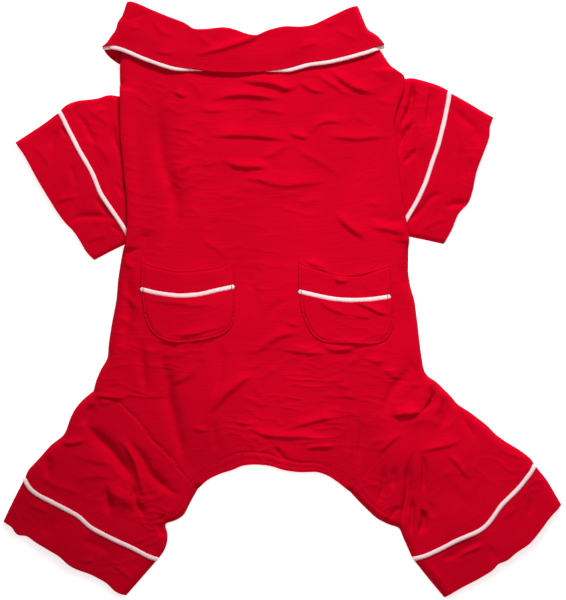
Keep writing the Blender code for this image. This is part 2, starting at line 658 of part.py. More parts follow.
def pockets():
    """Two patch pockets on the back, each a band, a line of piping and a rounded patch below it."""
    for name in POCKETS:
        middle, right, up = pocket_frame(name)

        def place(x, y):
            return middle + right * x * POCKET_WIDTH + up * y

        clear = PIPING / 2 + SEAM_GAP
        mouth = {edge: run(place(-0.5, y), place(0.5, y), POCKET_SAG)
                 for edge, y in (("above", clear), ("on", 0.0), ("below", -clear))}
        band_top = run(place(-0.46, POCKET_BAND), place(0.46, POCKET_BAND), POCKET_SAG)
        base = run(place(-0.32, -POCKET_DEPTH), place(0.32, -POCKET_DEPTH), [(0.5, 0.03)])
        pieces = {
            f"pocket_band_{name}": (band_top, mouth["above"], [], []),
            f"pocket_{name}": (mouth["below"], base, POCKET_SIDE,
                               [(a, -s) for a, s in POCKET_SIDE]),
        }
        for piece, (near, far, bends_left, bends_right) in pieces.items():
            left, right_edge = run(near[0], far[0], bends_left), run(near[-1], far[-1], bends_right)
            grid = patch(near, far, left, right_edge, np.linspace(0, 1, POCKET_ROWS),
                         lambda _: np.linspace(0, 1, POCKET_COLUMNS))
            cloth(piece, laid(grid, on_grid(crown, grid) + SEAM_GAP + POCKET_WALL), POCKET_WALL,
                  False)
        line = at(mouth["on"], np.linspace(0, 1, POCKET_COLUMNS)).T
        heights = crown(line) + SEAM_GAP + PIPING / 2
        piping(f"pocket_piping_{name}", [(*p, z) for p, z in zip(line, heights)], False)


for thing in list(bpy.data.objects):
    bpy.data.objects.remove(thing, do_unlink=True)

# One empty carries the garment and puts the middle of its outline over the origin
outline = np.concatenate(body_outline + outline_of(armholes["left"]["edges"])
                         + outline_of(armholes["right"]["edges"])
                         + [collar_fold, collar_fall] + [edges["hem"] for edges in legs.values()])
laid_garment = bpy.data.objects.new("laid_garment", None)
laid_garment.location = (*(-(outline.min(axis=0) + outline.max(axis=0)) / 2), 0.0)
bpy.context.collection.objects.link(laid_garment)

back_panel()
belly_panel()
collar()
pockets()
for side in ("left", "right"):
    limb(side, (f"leg_{side}", f"leg_cuff_{side}", f"leg_piping_{side}"), legs[side],
         seam_lines[side], seam_length, SIDE_ROLL, body_top,
         float(crown(legs[side]["seam"].mean(axis=0)[None])[0]), LEG_ROWS)
    hole = armholes[side]
    limb(side, (f"sleeve_{side}", f"sleeve_cuff_{side}", f"sleeve_piping_{side}"), hole["edges"],
         hole["root"], length_of(hole["root"]), SLEEVE_ROLL, sleeve_top(hole["edges"]),
         SLEEVE_HEIGHT, SLEEVE_ROWS)
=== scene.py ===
import math

import bmesh
import bpy
import numpy as np
from mathutils import Matrix, Vector


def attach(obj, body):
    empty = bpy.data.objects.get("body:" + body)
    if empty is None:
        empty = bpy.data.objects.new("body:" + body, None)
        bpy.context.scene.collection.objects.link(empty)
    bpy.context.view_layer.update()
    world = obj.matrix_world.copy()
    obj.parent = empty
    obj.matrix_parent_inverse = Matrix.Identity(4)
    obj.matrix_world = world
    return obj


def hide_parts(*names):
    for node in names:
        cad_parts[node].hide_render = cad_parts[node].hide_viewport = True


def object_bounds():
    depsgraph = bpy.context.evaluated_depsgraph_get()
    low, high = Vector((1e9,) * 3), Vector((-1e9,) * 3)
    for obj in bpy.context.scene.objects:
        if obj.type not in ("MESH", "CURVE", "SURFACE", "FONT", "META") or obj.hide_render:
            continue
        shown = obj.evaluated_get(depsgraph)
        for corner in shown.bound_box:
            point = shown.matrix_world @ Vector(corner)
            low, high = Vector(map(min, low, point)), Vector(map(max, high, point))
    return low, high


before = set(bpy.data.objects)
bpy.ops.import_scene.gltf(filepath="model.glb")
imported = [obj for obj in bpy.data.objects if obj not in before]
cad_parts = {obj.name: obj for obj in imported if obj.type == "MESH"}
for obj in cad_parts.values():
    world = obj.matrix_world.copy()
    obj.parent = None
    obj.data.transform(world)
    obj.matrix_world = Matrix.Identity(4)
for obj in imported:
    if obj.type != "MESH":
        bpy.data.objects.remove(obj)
cad_box = [list(corner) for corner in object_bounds()]

# The stage: a white light table, lit from below so that a product picture has almost no shadow.
# One wide lamp above the collar lights the cloth at a low angle, in a pale room. A black card keeps
# some of it off the lower left. The camera looks straight down, as for a catalogue picture.

# The garment's outermost places in the picture, which is 566 by 600 pixels
GARMENT_LEFT, GARMENT_TOP, GARMENT_BOTTOM = 2.4, 1.4, 598.0
PICTURE_WIDTH, PICTURE_HEIGHT = 566, 600
PIXEL = (cad_box[1][1] - cad_box[0][1]) / (GARMENT_BOTTOM - GARMENT_TOP)
LENS, SENSOR = 135.0, 36.0
NEAREST_SEEN = 0.01
FOCUS_HEIGHT = 0.006
KEY_PLACE, KEY_TARGET = (0.16, 1.20, 0.80), (0.0, -0.05, 0.0)
KEY_SIZE, KEY_POWER = (0.36, 0.2), 21.5
FILL_PLACE, FILL_TARGET = (0.02, -0.02, 0.34), (0.0, -0.02, 0.0)
FILL_SIZE, FILL_POWER = (0.2, 0.2), 0.5
ROOM_COLOUR, ROOM_LIGHT = "#ffffff", 0.13
TABLE_COLOUR, TABLE_GLOW = "#f4f4f4", 0.8
TABLE_REACH = 3.0
TABLE_DROP = 0.0003
FLAG_LEFT, FLAG_RIGHT = -0.17, -0.005
FLAG_LOW, FLAG_HIGH = 0.365, 0.52
FLAG_DISTANCE = 0.53
FLAG_COLOUR = "#101010"


def linear(colour):
    """An sRGB hex colour as linear red, green, blue and alpha."""
    parts = [int(colour[k:k + 2], 16) / 255 for k in (1, 3, 5)]
    return (*(p / 12.92 if p <= 0.04045 else ((p + 0.055) / 1.055) ** 2.4 for p in parts), 1.0)


def place(x, y):
    """A point of the picture, in metres on the table."""
    return (cad_box[0][0] + (x - GARMENT_LEFT) * PIXEL, cad_box[1][1] - (y - GARMENT_TOP) * PIXEL)


def lamp(name, location, target, size, power):
    """A rectangular lamp that looks at a target."""
    data = bpy.data.lights.new(name, "AREA")
    data.shape = "RECTANGLE"
    data.size, data.size_y = size
    data.energy = power
    thing = bpy.data.objects.new(name, data)
    bpy.context.scene.collection.objects.link(thing)
    thing.location = location
    thing.rotation_euler = (Vector(target) - thing.location).to_track_quat("-Z", "Y").to_euler()


def finished(name, bm, material):
    """Makes a bmesh an object of one material."""
    mesh = bpy.data.meshes.new(name)
    bm.to_mesh(mesh)
    bm.free()
    mesh.materials.append(material)
    thing = bpy.data.objects.new(name, mesh)
    bpy.context.scene.collection.objects.link(thing)
    return thing


lamp("key_lamp", KEY_PLACE, KEY_TARGET, KEY_SIZE, KEY_POWER)
lamp("fill_lamp", FILL_PLACE, FILL_TARGET, FILL_SIZE, FILL_POWER)

world = bpy.data.worlds.new("room")
world.use_nodes = True
bpy.context.scene.world = world
background = world.node_tree.nodes["Background"].inputs
background["Color"].default_value = linear(ROOM_COLOUR)
background["Strength"].default_value = ROOM_LIGHT

# A matt opal sheet that glows: it has no shine, and the garment hardly darkens it
board = bpy.data.materials.new("white_board")
board.use_nodes = True
finish = board.node_tree.nodes["Principled BSDF"].inputs
finish["Base Color"].default_value = linear(TABLE_COLOUR)
finish["Roughness"].default_value = 0.9
finish["Specular IOR Level"].default_value = 0.0
finish["Emission Color"].default_value = linear(TABLE_COLOUR)
finish["Emission Strength"].default_value = TABLE_GLOW

bm = bmesh.new()
bmesh.ops.create_grid(bm, x_segments=1, y_segments=1, size=TABLE_REACH)
bmesh.ops.translate(bm, verts=bm.verts, vec=(0, 0, -TABLE_DROP))
table = finished("table", bm, board)

# Black card stands upright before the key lamp, out of the camera's sight
card = bpy.data.materials.new("black_card")
card.use_nodes = True
card.node_tree.nodes["Principled BSDF"].inputs["Base Color"].default_value = linear(FLAG_COLOUR)

bm = bmesh.new()
corners = [(FLAG_LEFT, FLAG_LOW), (FLAG_RIGHT, FLAG_LOW), (FLAG_RIGHT, FLAG_HIGH), (FLAG_LEFT, FLAG_HIGH)]
bm.faces.new([bm.verts.new((x, FLAG_DISTANCE, z)) for x, z in corners])
flag = finished("flag", bm, card)
flag.visible_camera = False

camera_data = bpy.data.cameras.new("camera")
camera_data.lens = LENS
camera_data.sensor_fit = "VERTICAL"
camera_data.sensor_width = camera_data.sensor_height = SENSOR
camera_data.clip_start = NEAREST_SEEN
camera = bpy.data.objects.new("camera", camera_data)
bpy.context.scene.collection.objects.link(camera)
middle = place(PICTURE_WIDTH / 2, PICTURE_HEIGHT / 2)
camera.location = (*middle, FOCUS_HEIGHT + PICTURE_HEIGHT * PIXEL * LENS / SENSOR)
bpy.context.scene.camera = camera
bpy.context.scene.view_settings.view_transform = "Standard"

# The back: one piece of red jersey from the neck to the rear hem, laid right side up.
# It is cut with gently curved sides. They roll under the belly, over the sleeves, and the hem at the
# rear is turned under and sewn with two rows. Creases from folding and from wear run across it.

# The jersey's thickness, the body's height, the share of it beside the edges and how far in it is full
CLOTH = 0.0009
BODY_HEIGHT = 0.0132
EDGE_SHARE, CROWN_REACH = 0.68, 0.045
# The rolled edges: their radius above and below, how many times smaller it is at the thigh seams,
# the height at which they are widest and the least height
BODY_ROLL, UNDER_ROLL = 0.0055, 0.0028
SEAM_ROLL_PART = 3
WIDEST, THINNEST = 0.0017, 0.0016
FLOOR_GAP = 0.0003
# How high the side's edge lies on a sleeve and on the collar, and where it does, by picture height
OVER_SLEEVE, OVER_COLLAR = 0.0080, 0.0031
SLEEVE_SPAN = {"left": (92, 246), "right": (72, 240)}
COLLAR_SPAN = 78
SPAN_RAMP = 12.0
SLEEVE_COVER = 0.0026
LIFT_REACH = 0.045
# The flaps turned under at the sides, and the hem. Each is down at a fourth or a third of its width
FLAP, FLAP_SHORTER, FLAP_DROP = 0.009, 0.0018, 0.0014
HEM_TURN, HEM_DROP = 0.007, 0.0016
FLAP_STEEPNESS, HEM_STEEPNESS = 4, 3
BACK_COLUMNS, FLAP_COLUMNS = 132, 8
TORSO_ROWS, SEAT_ROWS, HEM_ROWS = 272, 74, 8
BACK_GRAIN = (0.22, 0.32)
# The charted creases: their form, and how unevenly they run
MM = 0.001
CREASE_MARGIN = 0.0035
CREASE_DEPTH = 1.25
CREASE_REACH, CREASE_TAPER, CREASE_SHARPNESS = 3.2, 0.35, 1.7
CREST, LOWER_SIDE = 0.6, 0.7
WANDER, WANDER_SIZE = 0.0007, 0.009
# The fine creases, and the cloth's slow swell
FINE_STRETCH = (0.013, 0.0042)
FINE_DEPTH, FINE_SHARPNESS, FINE_LEVEL = 0.00065, 7, 0.2
FINE_WARP, FINE_WARP_SIZES = 0.0035, (0.012, 0.01)
FINE_SLANT, FINE_SLANT_SIZE = 0.12, 0.05
FINE_PATCHES, FINE_PATCH_SIZE = 0.35, 0.024
SWELL, SWELL_SIZE = 0.0004, 0.022
LATTICE, LATTICE_MIDDLE = 96, 40.5
FOLD_ANGLE = math.radians(75)
WELD = 1e-6

JERSEY, JERSEY_DEEP, JERSEY_SHEEN = "#d10022", "#bf001d", "#ff1020"
COURSE_LENGTH, COURSE_SPACING = 0.028, 0.0016
PATCHES_PER_METRE = 26.0
STITCH_WIDTH, STITCH_HEIGHT = 0.0013, 0.0011
# At this scale the Wave node has one light band and one dark one for every two units
BANDS = 0.16


def add(tree, kind, inputs=None, **settings):
    """A shader node with its settings, and its inputs linked where they are another node's output."""
    node = tree.nodes.new(kind)
    for name, value in settings.items():
        setattr(node, name, value)
    for name, value in (inputs or {}).items():
        if isinstance(value, bpy.types.NodeSocket):
            tree.links.new(value, node.inputs[name])
        else:
            node.inputs[name].default_value = value
    return node


def cloth_material(name, roughness, specular):
    """A Principled material on the cloth's own grain map, and the parts that its pattern needs."""
    material = bpy.data.materials.new(name)
    material.use_nodes = True
    tree = material.node_tree
    shader = tree.nodes["Principled BSDF"]
    shader.inputs["Roughness"].default_value = roughness
    shader.inputs["Specular IOR Level"].default_value = specular
    grain = add(tree, "ShaderNodeUVMap", uv_map="grain").outputs["UV"]
    return material, tree, shader, grain


def two_colours(tree, shader, share, colour, deep):
    """The base colour, between two tones at a given share."""
    mix = add(tree, "ShaderNodeMix", {0: share, 6: linear(deep), 7: linear(colour)}, data_type="RGBA")
    tree.links.new(mix.outputs[2], shader.inputs["Base Color"])


# Fine viscose jersey, knitted and dyed red: matt, soft and a little fuzzy, with faint uneven courses
# across it. Its real loops are about 0.5 mm wide, too fine to show, so they are drawn coarser.
jersey, tree, shader, grain = cloth_material("viscose_jersey_knit", 0.95, 0.03)
shader.inputs["Sheen Weight"].default_value = 0.03
shader.inputs["Sheen Roughness"].default_value = 0.5
shader.inputs["Sheen Tint"].default_value = linear(JERSEY_SHEEN)
stretched = add(tree, "ShaderNodeMapping",
                {"Vector": grain, "Scale": (1 / COURSE_LENGTH, 1 / COURSE_SPACING, 1.0)})
courses = add(tree, "ShaderNodeTexNoise",
              {"Vector": stretched.outputs[0], "Scale": 1.0, "Detail": 3.0, "Roughness": 0.55})
patchy = add(tree, "ShaderNodeTexNoise", {"Vector": grain, "Scale": PATCHES_PER_METRE, "Detail": 3.0})
shade = add(tree, "ShaderNodeMath", {0: courses.outputs["Fac"], 1: patchy.outputs["Fac"]}, operation="ADD")
share = add(tree, "ShaderNodeMapRange", {"Value": shade.outputs[0], "From Min": 0.62, "From Max": 1.3})
two_colours(tree, shader, share.outputs["Result"], JERSEY, JERSEY_DEEP)
knit = add(tree, "ShaderNodeMapping",
           {"Vector": grain, "Scale": (1 / STITCH_WIDTH, 1 / STITCH_HEIGHT, 1.0)})
wales = add(tree, "ShaderNodeTexWave", {"Vector": knit.outputs[0], "Scale": BANDS, "Distortion": 0.6},
            bands_direction="X")
rows = add(tree, "ShaderNodeTexWave", {"Vector": knit.outputs[0], "Scale": BANDS, "Distortion": 0.8},
           bands_direction="Y")
loops = add(tree, "ShaderNodeMath", {0: wales.outputs["Fac"], 1: rows.outputs["Fac"]}, operation="ADD")
fine = add(tree, "ShaderNodeBump", {"Height": loops.outputs[0], "Strength": 0.10, "Distance": 0.0002})
streaks = add(tree, "ShaderNodeBump", {"Height": courses.outputs["Fac"], "Strength": 0.16,
                                       "Distance": 0.0006, "Normal": fine.outputs["Normal"]})
tree.links.new(streaks.outputs["Normal"], shader.inputs["Normal"])

NECK = [(131, 13), (150, 22), (172, 32), (196, 39), (240, 41), (285, 38), (312, 34), (333, 25), (351, 15)]
SIDE_LEFT = [(131, 13), (123, 38), (119.5, 66), (120, 96), (120.5, 136), (123.5, 166), (127, 198),
             (127.5, 222), (125.5, 244), (121, 257), (117.5, 280), (116, 300), (111.5, 322), (108, 345),
             (107.5, 358), (100, 370), (95.4, 381), (93, 391)]
SIDE_RIGHT = [(351, 15), (366, 34), (381, 51), (390, 65), (397, 71), (404.5, 75.5), (405, 84),
              (401, 96), (396, 110), (393.5, 126), (396, 154), (400.5, 190), (405.5, 217), (409, 236),
              (408.5, 273), (411, 288), (415, 300), (417.5, 320), (421, 350), (424, 370), (428, 377),
              (434.7, 380), (440, 385)]
THIGH_LEFT = [(93, 391), (105, 396.5), (119, 401), (137, 419.6), (151.4, 438), (167.8, 454), (177, 467),
              (188, 478), (198, 489)]
THIGH_RIGHT = [(440, 385), (428, 402), (398, 435), (378, 457), (350, 492)]
REAR_HEM = [(198, 489), (207, 480), (220, 473.5), (232, 470), (243, 465), (254, 464), (264, 464.5),
            (273, 466), (284, 470), (299, 472), (318, 471.5), (329, 476), (339, 483), (350, 492)]
LEG_OUTER_LEFT = [(93, 391), (82, 400), (74, 409.5), (69, 420), (66.6, 428), (63.5, 435.5), (50.5, 445),
                  (36.5, 461), (26.7, 471), (24.6, 478)]
LEG_INNER_LEFT = [(198, 489), (195, 494), (189, 505), (184, 516), (174, 522), (168, 523), (163.5, 524.5),
                  (167, 531), (167.7, 540), (165, 550), (158.6, 559)]
LEG_OUTER_RIGHT = [(440, 385), (447, 392), (453, 398), (457, 404), (470, 412), (487, 425), (496.5, 435),
                   (508, 443), (520, 450), (532, 459), (534.5, 464)]
LEG_INNER_RIGHT = [(350, 492), (360, 503), (376, 518.5), (384, 523), (394, 527), (399.6, 527.5),
                   (402.5, 536), (406, 544), (412.5, 558.5)]

# Height of the crown: share of the way from collar to rear hem, share of BODY_HEIGHT
CROWN = [(-0.1, 0.84), (0.05, 0.84), (0.2, 1.0), (0.62, 1.0), (0.8, 0.92), (1.0, 0.78), (1.3, 0.70),
         (2.0, 0.66)]
CROWN_TOP, CROWN_BOTTOM = 14.0, 490.0

# Creases: points of the picture from left to right, then the width of the upper side, of the lower
# side and the rise, all in mm. A ridge rises, and a valley has a rise below zero.
CREASES = [
    # Below the collar
    ([(236, 83), (262, 86), (277, 89), (287, 92), (297, 89), (304, 84)], 4.5, 2.2, 1.9),
    ([(296, 83), (306, 90), (316, 94), (326, 95)], 3.0, 1.5, 1.2),
    ([(326, 68), (336, 80), (350, 88), (362, 93), (377, 97)], 3.5, 2.0, 2.1),
    ([(320, 79), (335, 90), (353, 99)], 2.0, 1.3, 0.9),
    ([(311, 72), (325, 82), (345, 93)], 1.8, 1.2, 0.7),
    ([(174, 93), (180, 98), (188, 99)], 2.5, 1.4, 1.2),
    ([(188, 82), (197, 90), (200, 103)], 2.0, 1.4, 0.5),
    ([(210, 104), (222, 99), (240, 98), (275, 101), (284, 98)], 4.0, 1.9, 1.7),
    ([(198, 111), (215, 114), (230, 113)], 2.5, 1.5, 0.8),
    ([(252, 110), (268, 113), (287, 117)], 2.5, 1.5, 0.7),
    ([(236, 124), (248, 122), (260, 113)], 2.0, 1.3, 0.4),
    ([(170, 129), (182, 131), (197, 136)], 2.2, 1.3, 0.6),
    ([(174, 135), (195, 147), (207, 150)], 2.2, 1.3, 0.4),
    ([(352, 116), (362, 121), (372, 128)], 2.0, 1.3, 0.5),
    ([(376, 100), (384, 104), (393, 108)], 2.2, 1.5, 0.7),
    # The long cross crease and its branches
    ([(203, 138), (225, 137), (250, 137), (275, 140), (288, 143), (294, 139)], 5.0, 1.3, 1.4),
    ([(285, 133), (296, 138), (306, 141), (312, 136)], 3.0, 1.4, 1.2),
    ([(309, 138), (317, 128), (323, 124), (335, 124), (347, 126)], 3.5, 1.5, 0.9),
    ([(321, 138), (335, 140), (345, 141), (370, 139), (392, 138)], 4.5, 1.4, 1.1),
    ([(258, 159), (275, 156), (284, 149), (292, 146)], 3.0, 2.0, 0.8),
    ([(291, 145), (305, 157), (320, 165), (335, 174), (343, 181)], 3.0, 1.6, 0.7),
    ([(197, 166), (214, 166), (224, 162)], 3.0, 2.0, 0.5),
    ([(219, 160), (232, 167), (245, 170), (258, 169), (272, 170)], 3.5, 1.8, 1.5),
    ([(168, 195), (176, 185), (182, 176), (190, 168), (194, 156)], 2.6, 2.2, 1.2),
    ([(238, 179), (262, 184), (280, 189), (300, 187), (332, 183)], 5.0, 2.6, 1.2),
    ([(298, 201), (322, 202)], 3.0, 1.6, 0.4),
    ([(218, 199), (245, 198)], 3.0, 1.6, 0.4),
    ([(365, 204), (380, 206)], 2.0, 1.3, 0.7),
    ([(332, 213), (345, 226), (354, 233), (366, 245)], 4.0, 1.8, 1.9),
    ([(366, 228), (385, 231), (396, 233), (410, 236)], 5.0, 2.0, 1.4),
    ([(368, 214), (385, 222), (410, 222)], 4.0, 4.0, -1.0),
    ([(158, 96), (160, 140), (166, 170), (174, 195), (176, 215), (168, 235), (162, 258)], 5.5, 5.5, -2.0),
    ([(118, 262), (132, 250), (145, 240), (156, 230)], 3.0, 2.6, -2.0),
    ([(198, 238), (215, 250), (227, 263)], 2.6, 1.6, 0.5),
    # Beside and between the pockets
    ([(126, 256), (128, 300), (127, 330), (121, 362)], 3.5, 3.5, -1.7),
    ([(120, 294), (130, 303), (137, 314)], 2.5, 1.8, 1.1),
    ([(117, 318), (124, 322), (131, 324)], 2.5, 1.8, 0.9),
    ([(122, 262), (128, 267), (134, 271)], 2.2, 1.6, 1.0),
    ([(117, 345), (122, 350), (126, 357)], 2.0, 1.6, 0.7),
    ([(240, 268), (250, 280), (257, 300), (256, 328)], 2.4, 2.0, -0.6),
    ([(264, 322), (275, 308), (291, 299)], 2.6, 2.0, -0.6),
    ([(286, 324), (299, 327)], 1.8, 1.3, 0.9),
    ([(254, 356), (270, 343), (282, 337), (302, 335)], 3.5, 1.8, 1.2),
    ([(402, 258), (402, 278), (409, 294)], 2.5, 2.5, -0.9),
    # On the pockets
    ([(150, 303), (180, 306), (217, 308)], 4.0, 2.4, 0.7),
    ([(166, 337), (195, 336), (215, 331), (229, 325)], 3.0, 1.8, 0.8),
    ([(302, 263), (315, 267), (329, 273)], 2.6, 1.3, 1.3),
    ([(331, 281), (340, 283), (350, 282)], 3.0, 2.4, 1.2),
    ([(343, 276), (365, 274), (380, 267)], 2.4, 1.5, 0.6),
    ([(316, 302), (330, 310), (347, 317)], 2.6, 1.8, 0.8),
    ([(348, 302), (368, 308), (380, 315), (393, 318)], 2.8, 1.6, 1.2),
    ([(352, 316), (372, 319)], 2.0, 1.4, 0.6),
    # Below the pockets
    ([(158, 336), (166, 343), (174, 345), (186, 345)], 2.4, 1.6, 0.9),
    ([(196, 350), (210, 339), (222, 336)], 2.4, 1.6, 0.6),
    ([(170, 388), (185, 380), (195, 372), (203, 364)], 3.2, 1.7, 1.1),
    ([(160, 346), (165, 370), (168, 395), (174, 420), (179, 442), (183, 470)], 4.4, 4.4, -3.0),
    ([(140, 336), (143, 365), (146, 398)], 2.8, 2.8, -1.8),
    ([(221, 338), (222, 360), (219, 385), (213, 403)], 2.4, 2.4, -1.5),
    ([(212, 418), (215, 438), (214, 454)], 2.6, 2.6, -0.8),
    ([(207, 419), (218, 405), (230, 392), (243, 382), (262, 373)], 4.0, 2.0, 1.7),
    ([(283, 352), (300, 353), (315, 355), (327, 355)], 3.0, 1.5, 1.0),
    ([(317, 341), (329, 352), (345, 352), (363, 345)], 3.0, 1.6, 1.2),
    ([(323, 343), (345, 343), (362, 345), (382, 346)], 2.2, 1.3, 0.9),
    ([(343, 371), (360, 358), (370, 348), (382, 344)], 2.6, 1.6, 0.6),
    ([(366, 362), (376, 365), (387, 364)], 3.0, 2.4, 0.8),
    ([(380, 369), (390, 377), (400, 380)], 2.8, 2.0, 1.0),
    ([(322, 384), (346, 381)], 2.6, 1.6, 0.5),
    ([(333, 384), (352, 391)], 2.2, 1.5, 0.6),
    ([(341, 397), (358, 399)], 2.2, 1.5, 0.6),
    ([(281, 430), (300, 427), (318, 421), (333, 419), (347, 416)], 3.6, 1.5, 1.1),
    ([(320, 425), (347, 424)], 2.0, 1.3, 0.7),
    ([(238, 429), (255, 432), (270, 436), (300, 438), (337, 441)], 3.6, 1.5, 1.2),
    ([(288, 443), (337, 442)], 2.0, 1.3, 0.6),
    ([(301, 449), (320, 448), (338, 449)], 2.4, 1.6, 1.2),
    ([(233, 423), (262, 425)], 2.4, 1.6, 0.6),
    ([(192, 431), (208, 433)], 2.4, 1.6, 0.8),
    ([(236, 440), (262, 440)], 2.6, 2.0, 0.5),
    ([(350, 403), (348, 430), (347, 457)], 1.8, 1.8, -0.8),
    ([(361, 408), (360, 440), (358, 472)], 2.2, 2.2, -1.0),
    ([(373, 398), (371, 430), (369, 462)], 2.0, 2.0, -0.4),
    ([(272, 444), (280, 454), (289, 463)], 1.6, 1.6, -1.3),
    # The right hip
    ([(384, 420), (388, 402), (396, 386), (405, 374), (412, 360)], 3.0, 3.0, -1.7),
    ([(390, 418), (402, 414), (412, 416), (424, 413)], 4.5, 2.0, 2.7),
    ([(431, 381), (433.5, 388), (433, 398), (428.5, 406), (421, 413)], 1.5, 1.5, -3.4),
    ([(439, 381), (441, 392), (438, 405), (430, 416)], 2.0, 2.0, 1.3),
    ([(404, 356), (414, 368), (420, 382), (420, 398)], 2.4, 2.4, -0.8),
    ([(378, 456), (390, 443), (403, 434)], 2.8, 1.8, 1.0),
    ([(368, 445), (387, 439)], 2.2, 1.5, 0.6),
    ([(404, 431), (417, 424), (432, 424), (441, 430)], 5.0, 4.0, 0.8),
    ([(439, 392), (447, 409), (443, 430)], 4.0, 4.0, -1.2),
    ([(456, 404), (463, 418), (468, 430), (477, 442)], 2.6, 2.6, -1.2),
    # The rear hem's two rows of stitching, which run on down the legs' inner edges
    ([(196, 476), (207, 467), (220, 461), (232, 455), (243, 452), (262, 452), (275, 454), (283, 460),
      (300, 463), (318, 463), (334, 470), (346, 482)], 0.9, 0.9, -0.6),
    ([(200, 481), (208, 474), (222, 467), (233, 463), (244, 459), (262, 458), (275, 461), (284, 465),
      (300, 467.5), (318, 467), (330, 472), (342, 482)], 0.8, 0.8, -0.35),
    ([(192, 478), (187, 490), (182, 504), (174, 514), (162, 518)], 0.9, 0.9, -0.6),
    ([(352, 484), (364, 496), (378, 509), (388, 515), (400, 519)], 0.9, 0.9, -0.4),
    # The left thigh and leg; the first is the thigh seam's own groove
    (THIGH_LEFT[1:], 0.9, 0.9, -0.8),
    ([(88, 396), (105, 398), (118, 400), (130, 397)], 3.2, 1.9, 1.4),
    ([(98, 406), (114, 405)], 2.6, 2.0, 0.8),
    ([(95, 402), (88, 414), (83, 427)], 3.4, 3.4, -1.7),
    ([(83, 421), (100, 441), (115, 455), (128, 470), (137, 486)], 4.6, 4.6, -3.2),
    ([(113, 437), (126, 447), (134, 463), (139, 484), (147, 507)], 2.6, 2.6, 1.7),
    ([(127, 436), (139, 452), (148, 472), (162, 486), (182, 498)], 3.2, 3.2, -2.5),
    ([(58, 444), (75, 445), (90, 441)], 2.6, 1.6, 1.3),
    ([(68, 455), (90, 461), (117, 468)], 4.0, 2.6, 0.6),
    ([(73, 483), (95, 478), (118, 479)], 3.2, 2.0, 0.6),
    ([(47, 453), (46, 465), (50, 480)], 3.2, 3.2, -1.4),
    ([(107, 482), (107, 500), (110, 518)], 3.2, 3.2, -2.0),
    ([(96, 494), (112, 501), (128, 506), (148, 514)], 6.0, 9.0, 2.6),
    ([(133, 482), (136, 500), (144, 520)], 2.8, 2.8, -2.6),
    ([(157, 521), (161, 528), (161, 538)], 2.2, 2.2, -2.0),
    ([(158, 522), (165, 512)], 1.4, 1.4, -1.4),
    ([(38, 480), (60, 488), (87, 497)], 3.2, 2.2, 0.6),
    ([(190, 500), (184, 512), (172, 519)], 1.6, 1.6, -0.6),
    # The right leg
    ([(418, 453), (435, 448), (452, 445), (464, 441)], 3.2, 1.5, 1.1),
    ([(445, 453), (457, 466), (470, 482)], 2.6, 1.7, 1.1),
    ([(412, 452), (408, 470), (407, 490), (404, 510), (401, 532)], 2.6, 2.6, -2.8),
    ([(420, 450), (424, 462), (423, 478), (425, 496)], 1.6, 1.6, -1.9),
    ([(385, 463), (383, 485), (379, 507)], 2.4, 2.4, -1.5),
    ([(395, 463), (392, 492)], 2.2, 2.2, -1.4),
    ([(414, 494), (411, 515), (412, 537)], 1.7, 1.7, -2.3),
    ([(420, 508), (425, 519), (419, 536)], 2.6, 2.6, -2.7),
    ([(389, 519), (396, 510), (402, 507)], 2.2, 2.2, -1.3),
    ([(430, 500), (433, 518)], 2.2, 2.2, -0.6),
    ([(440, 470), (455, 490), (475, 505)], 5.0, 5.0, 0.5),
    ([(437, 478), (450, 474), (462, 476)], 2.6, 1.8, 0.4),
    # The left leg's cuff
    ([(44, 537), (50, 526), (57, 515)], 2.6, 2.6, -0.7),
    ([(28, 505), (40, 512), (52, 514)], 2.8, 2.0, 0.5),
    ([(78, 539), (98, 544), (113, 556)], 4.0, 4.0, -0.8),
    ([(80, 563), (97, 561)], 2.4, 1.6, 0.6),
    ([(110, 566), (122, 572), (130, 584)], 2.4, 2.0, 0.5),
    # The right leg's cuff
    ([(436, 560), (452, 556), (470, 545), (484, 537)], 3.0, 2.6, -1.0),
    ([(452, 560), (468, 551), (486, 546)], 2.4, 1.5, 0.9),
    ([(489, 543), (496, 563)], 2.2, 2.2, -0.7),
    ([(531, 496), (529, 518)], 2.2, 2.2, -0.6),
    ([(498, 520), (510, 516), (520, 506)], 2.4, 1.8, 0.5),
    ([(424, 566), (434, 574), (438, 586)], 2.4, 2.0, 0.5),
]


def lengths_along(line):
    """The length of a line up to each of its points."""
    return np.concatenate([[0.0], np.cumsum(np.linalg.norm(np.diff(line, axis=0), axis=1))])


def length_of(line):
    return float(np.linalg.norm(np.diff(line, axis=0), axis=1).sum())


def read_off(spots, ways, values):
    """The values at spots, between those that are known at ways."""
    return np.stack([np.interp(spots, ways, column) for column in values.T], axis=-1)


def smooth_line(points, step=0.001, softness=0.0022):
    """A soft line through points of the picture, as an even run of points in metres."""
    knots = np.array([place(*p) for p in points])
    lengths = lengths_along(knots)
    count = max(int(lengths[-1] / step), 4)
    line = read_off(np.linspace(0, lengths[-1], count + 1), lengths, knots)
    reach = min(max(int(2 * softness / step), 1), count)
    weights = np.exp(-0.5 * (np.arange(-reach, reach + 1) * step / softness) ** 2)
    weights /= weights.sum()
    before = 2 * line[0] - line[reach:0:-1]
    after = 2 * line[-1] - line[-2:-reach - 2:-1]
    padded = np.concatenate([before, line, after])
    return np.stack([np.convolve(padded[:, k], weights, "valid") for k in range(2)], axis=1)


def smooth_pair(left, right):
    return {"left": smooth_line(left), "right": smooth_line(right)}


def along(line, shares):
    """The points at shares of a line's length."""
    return read_off(shares, lengths_along(line) / length_of(line), line)


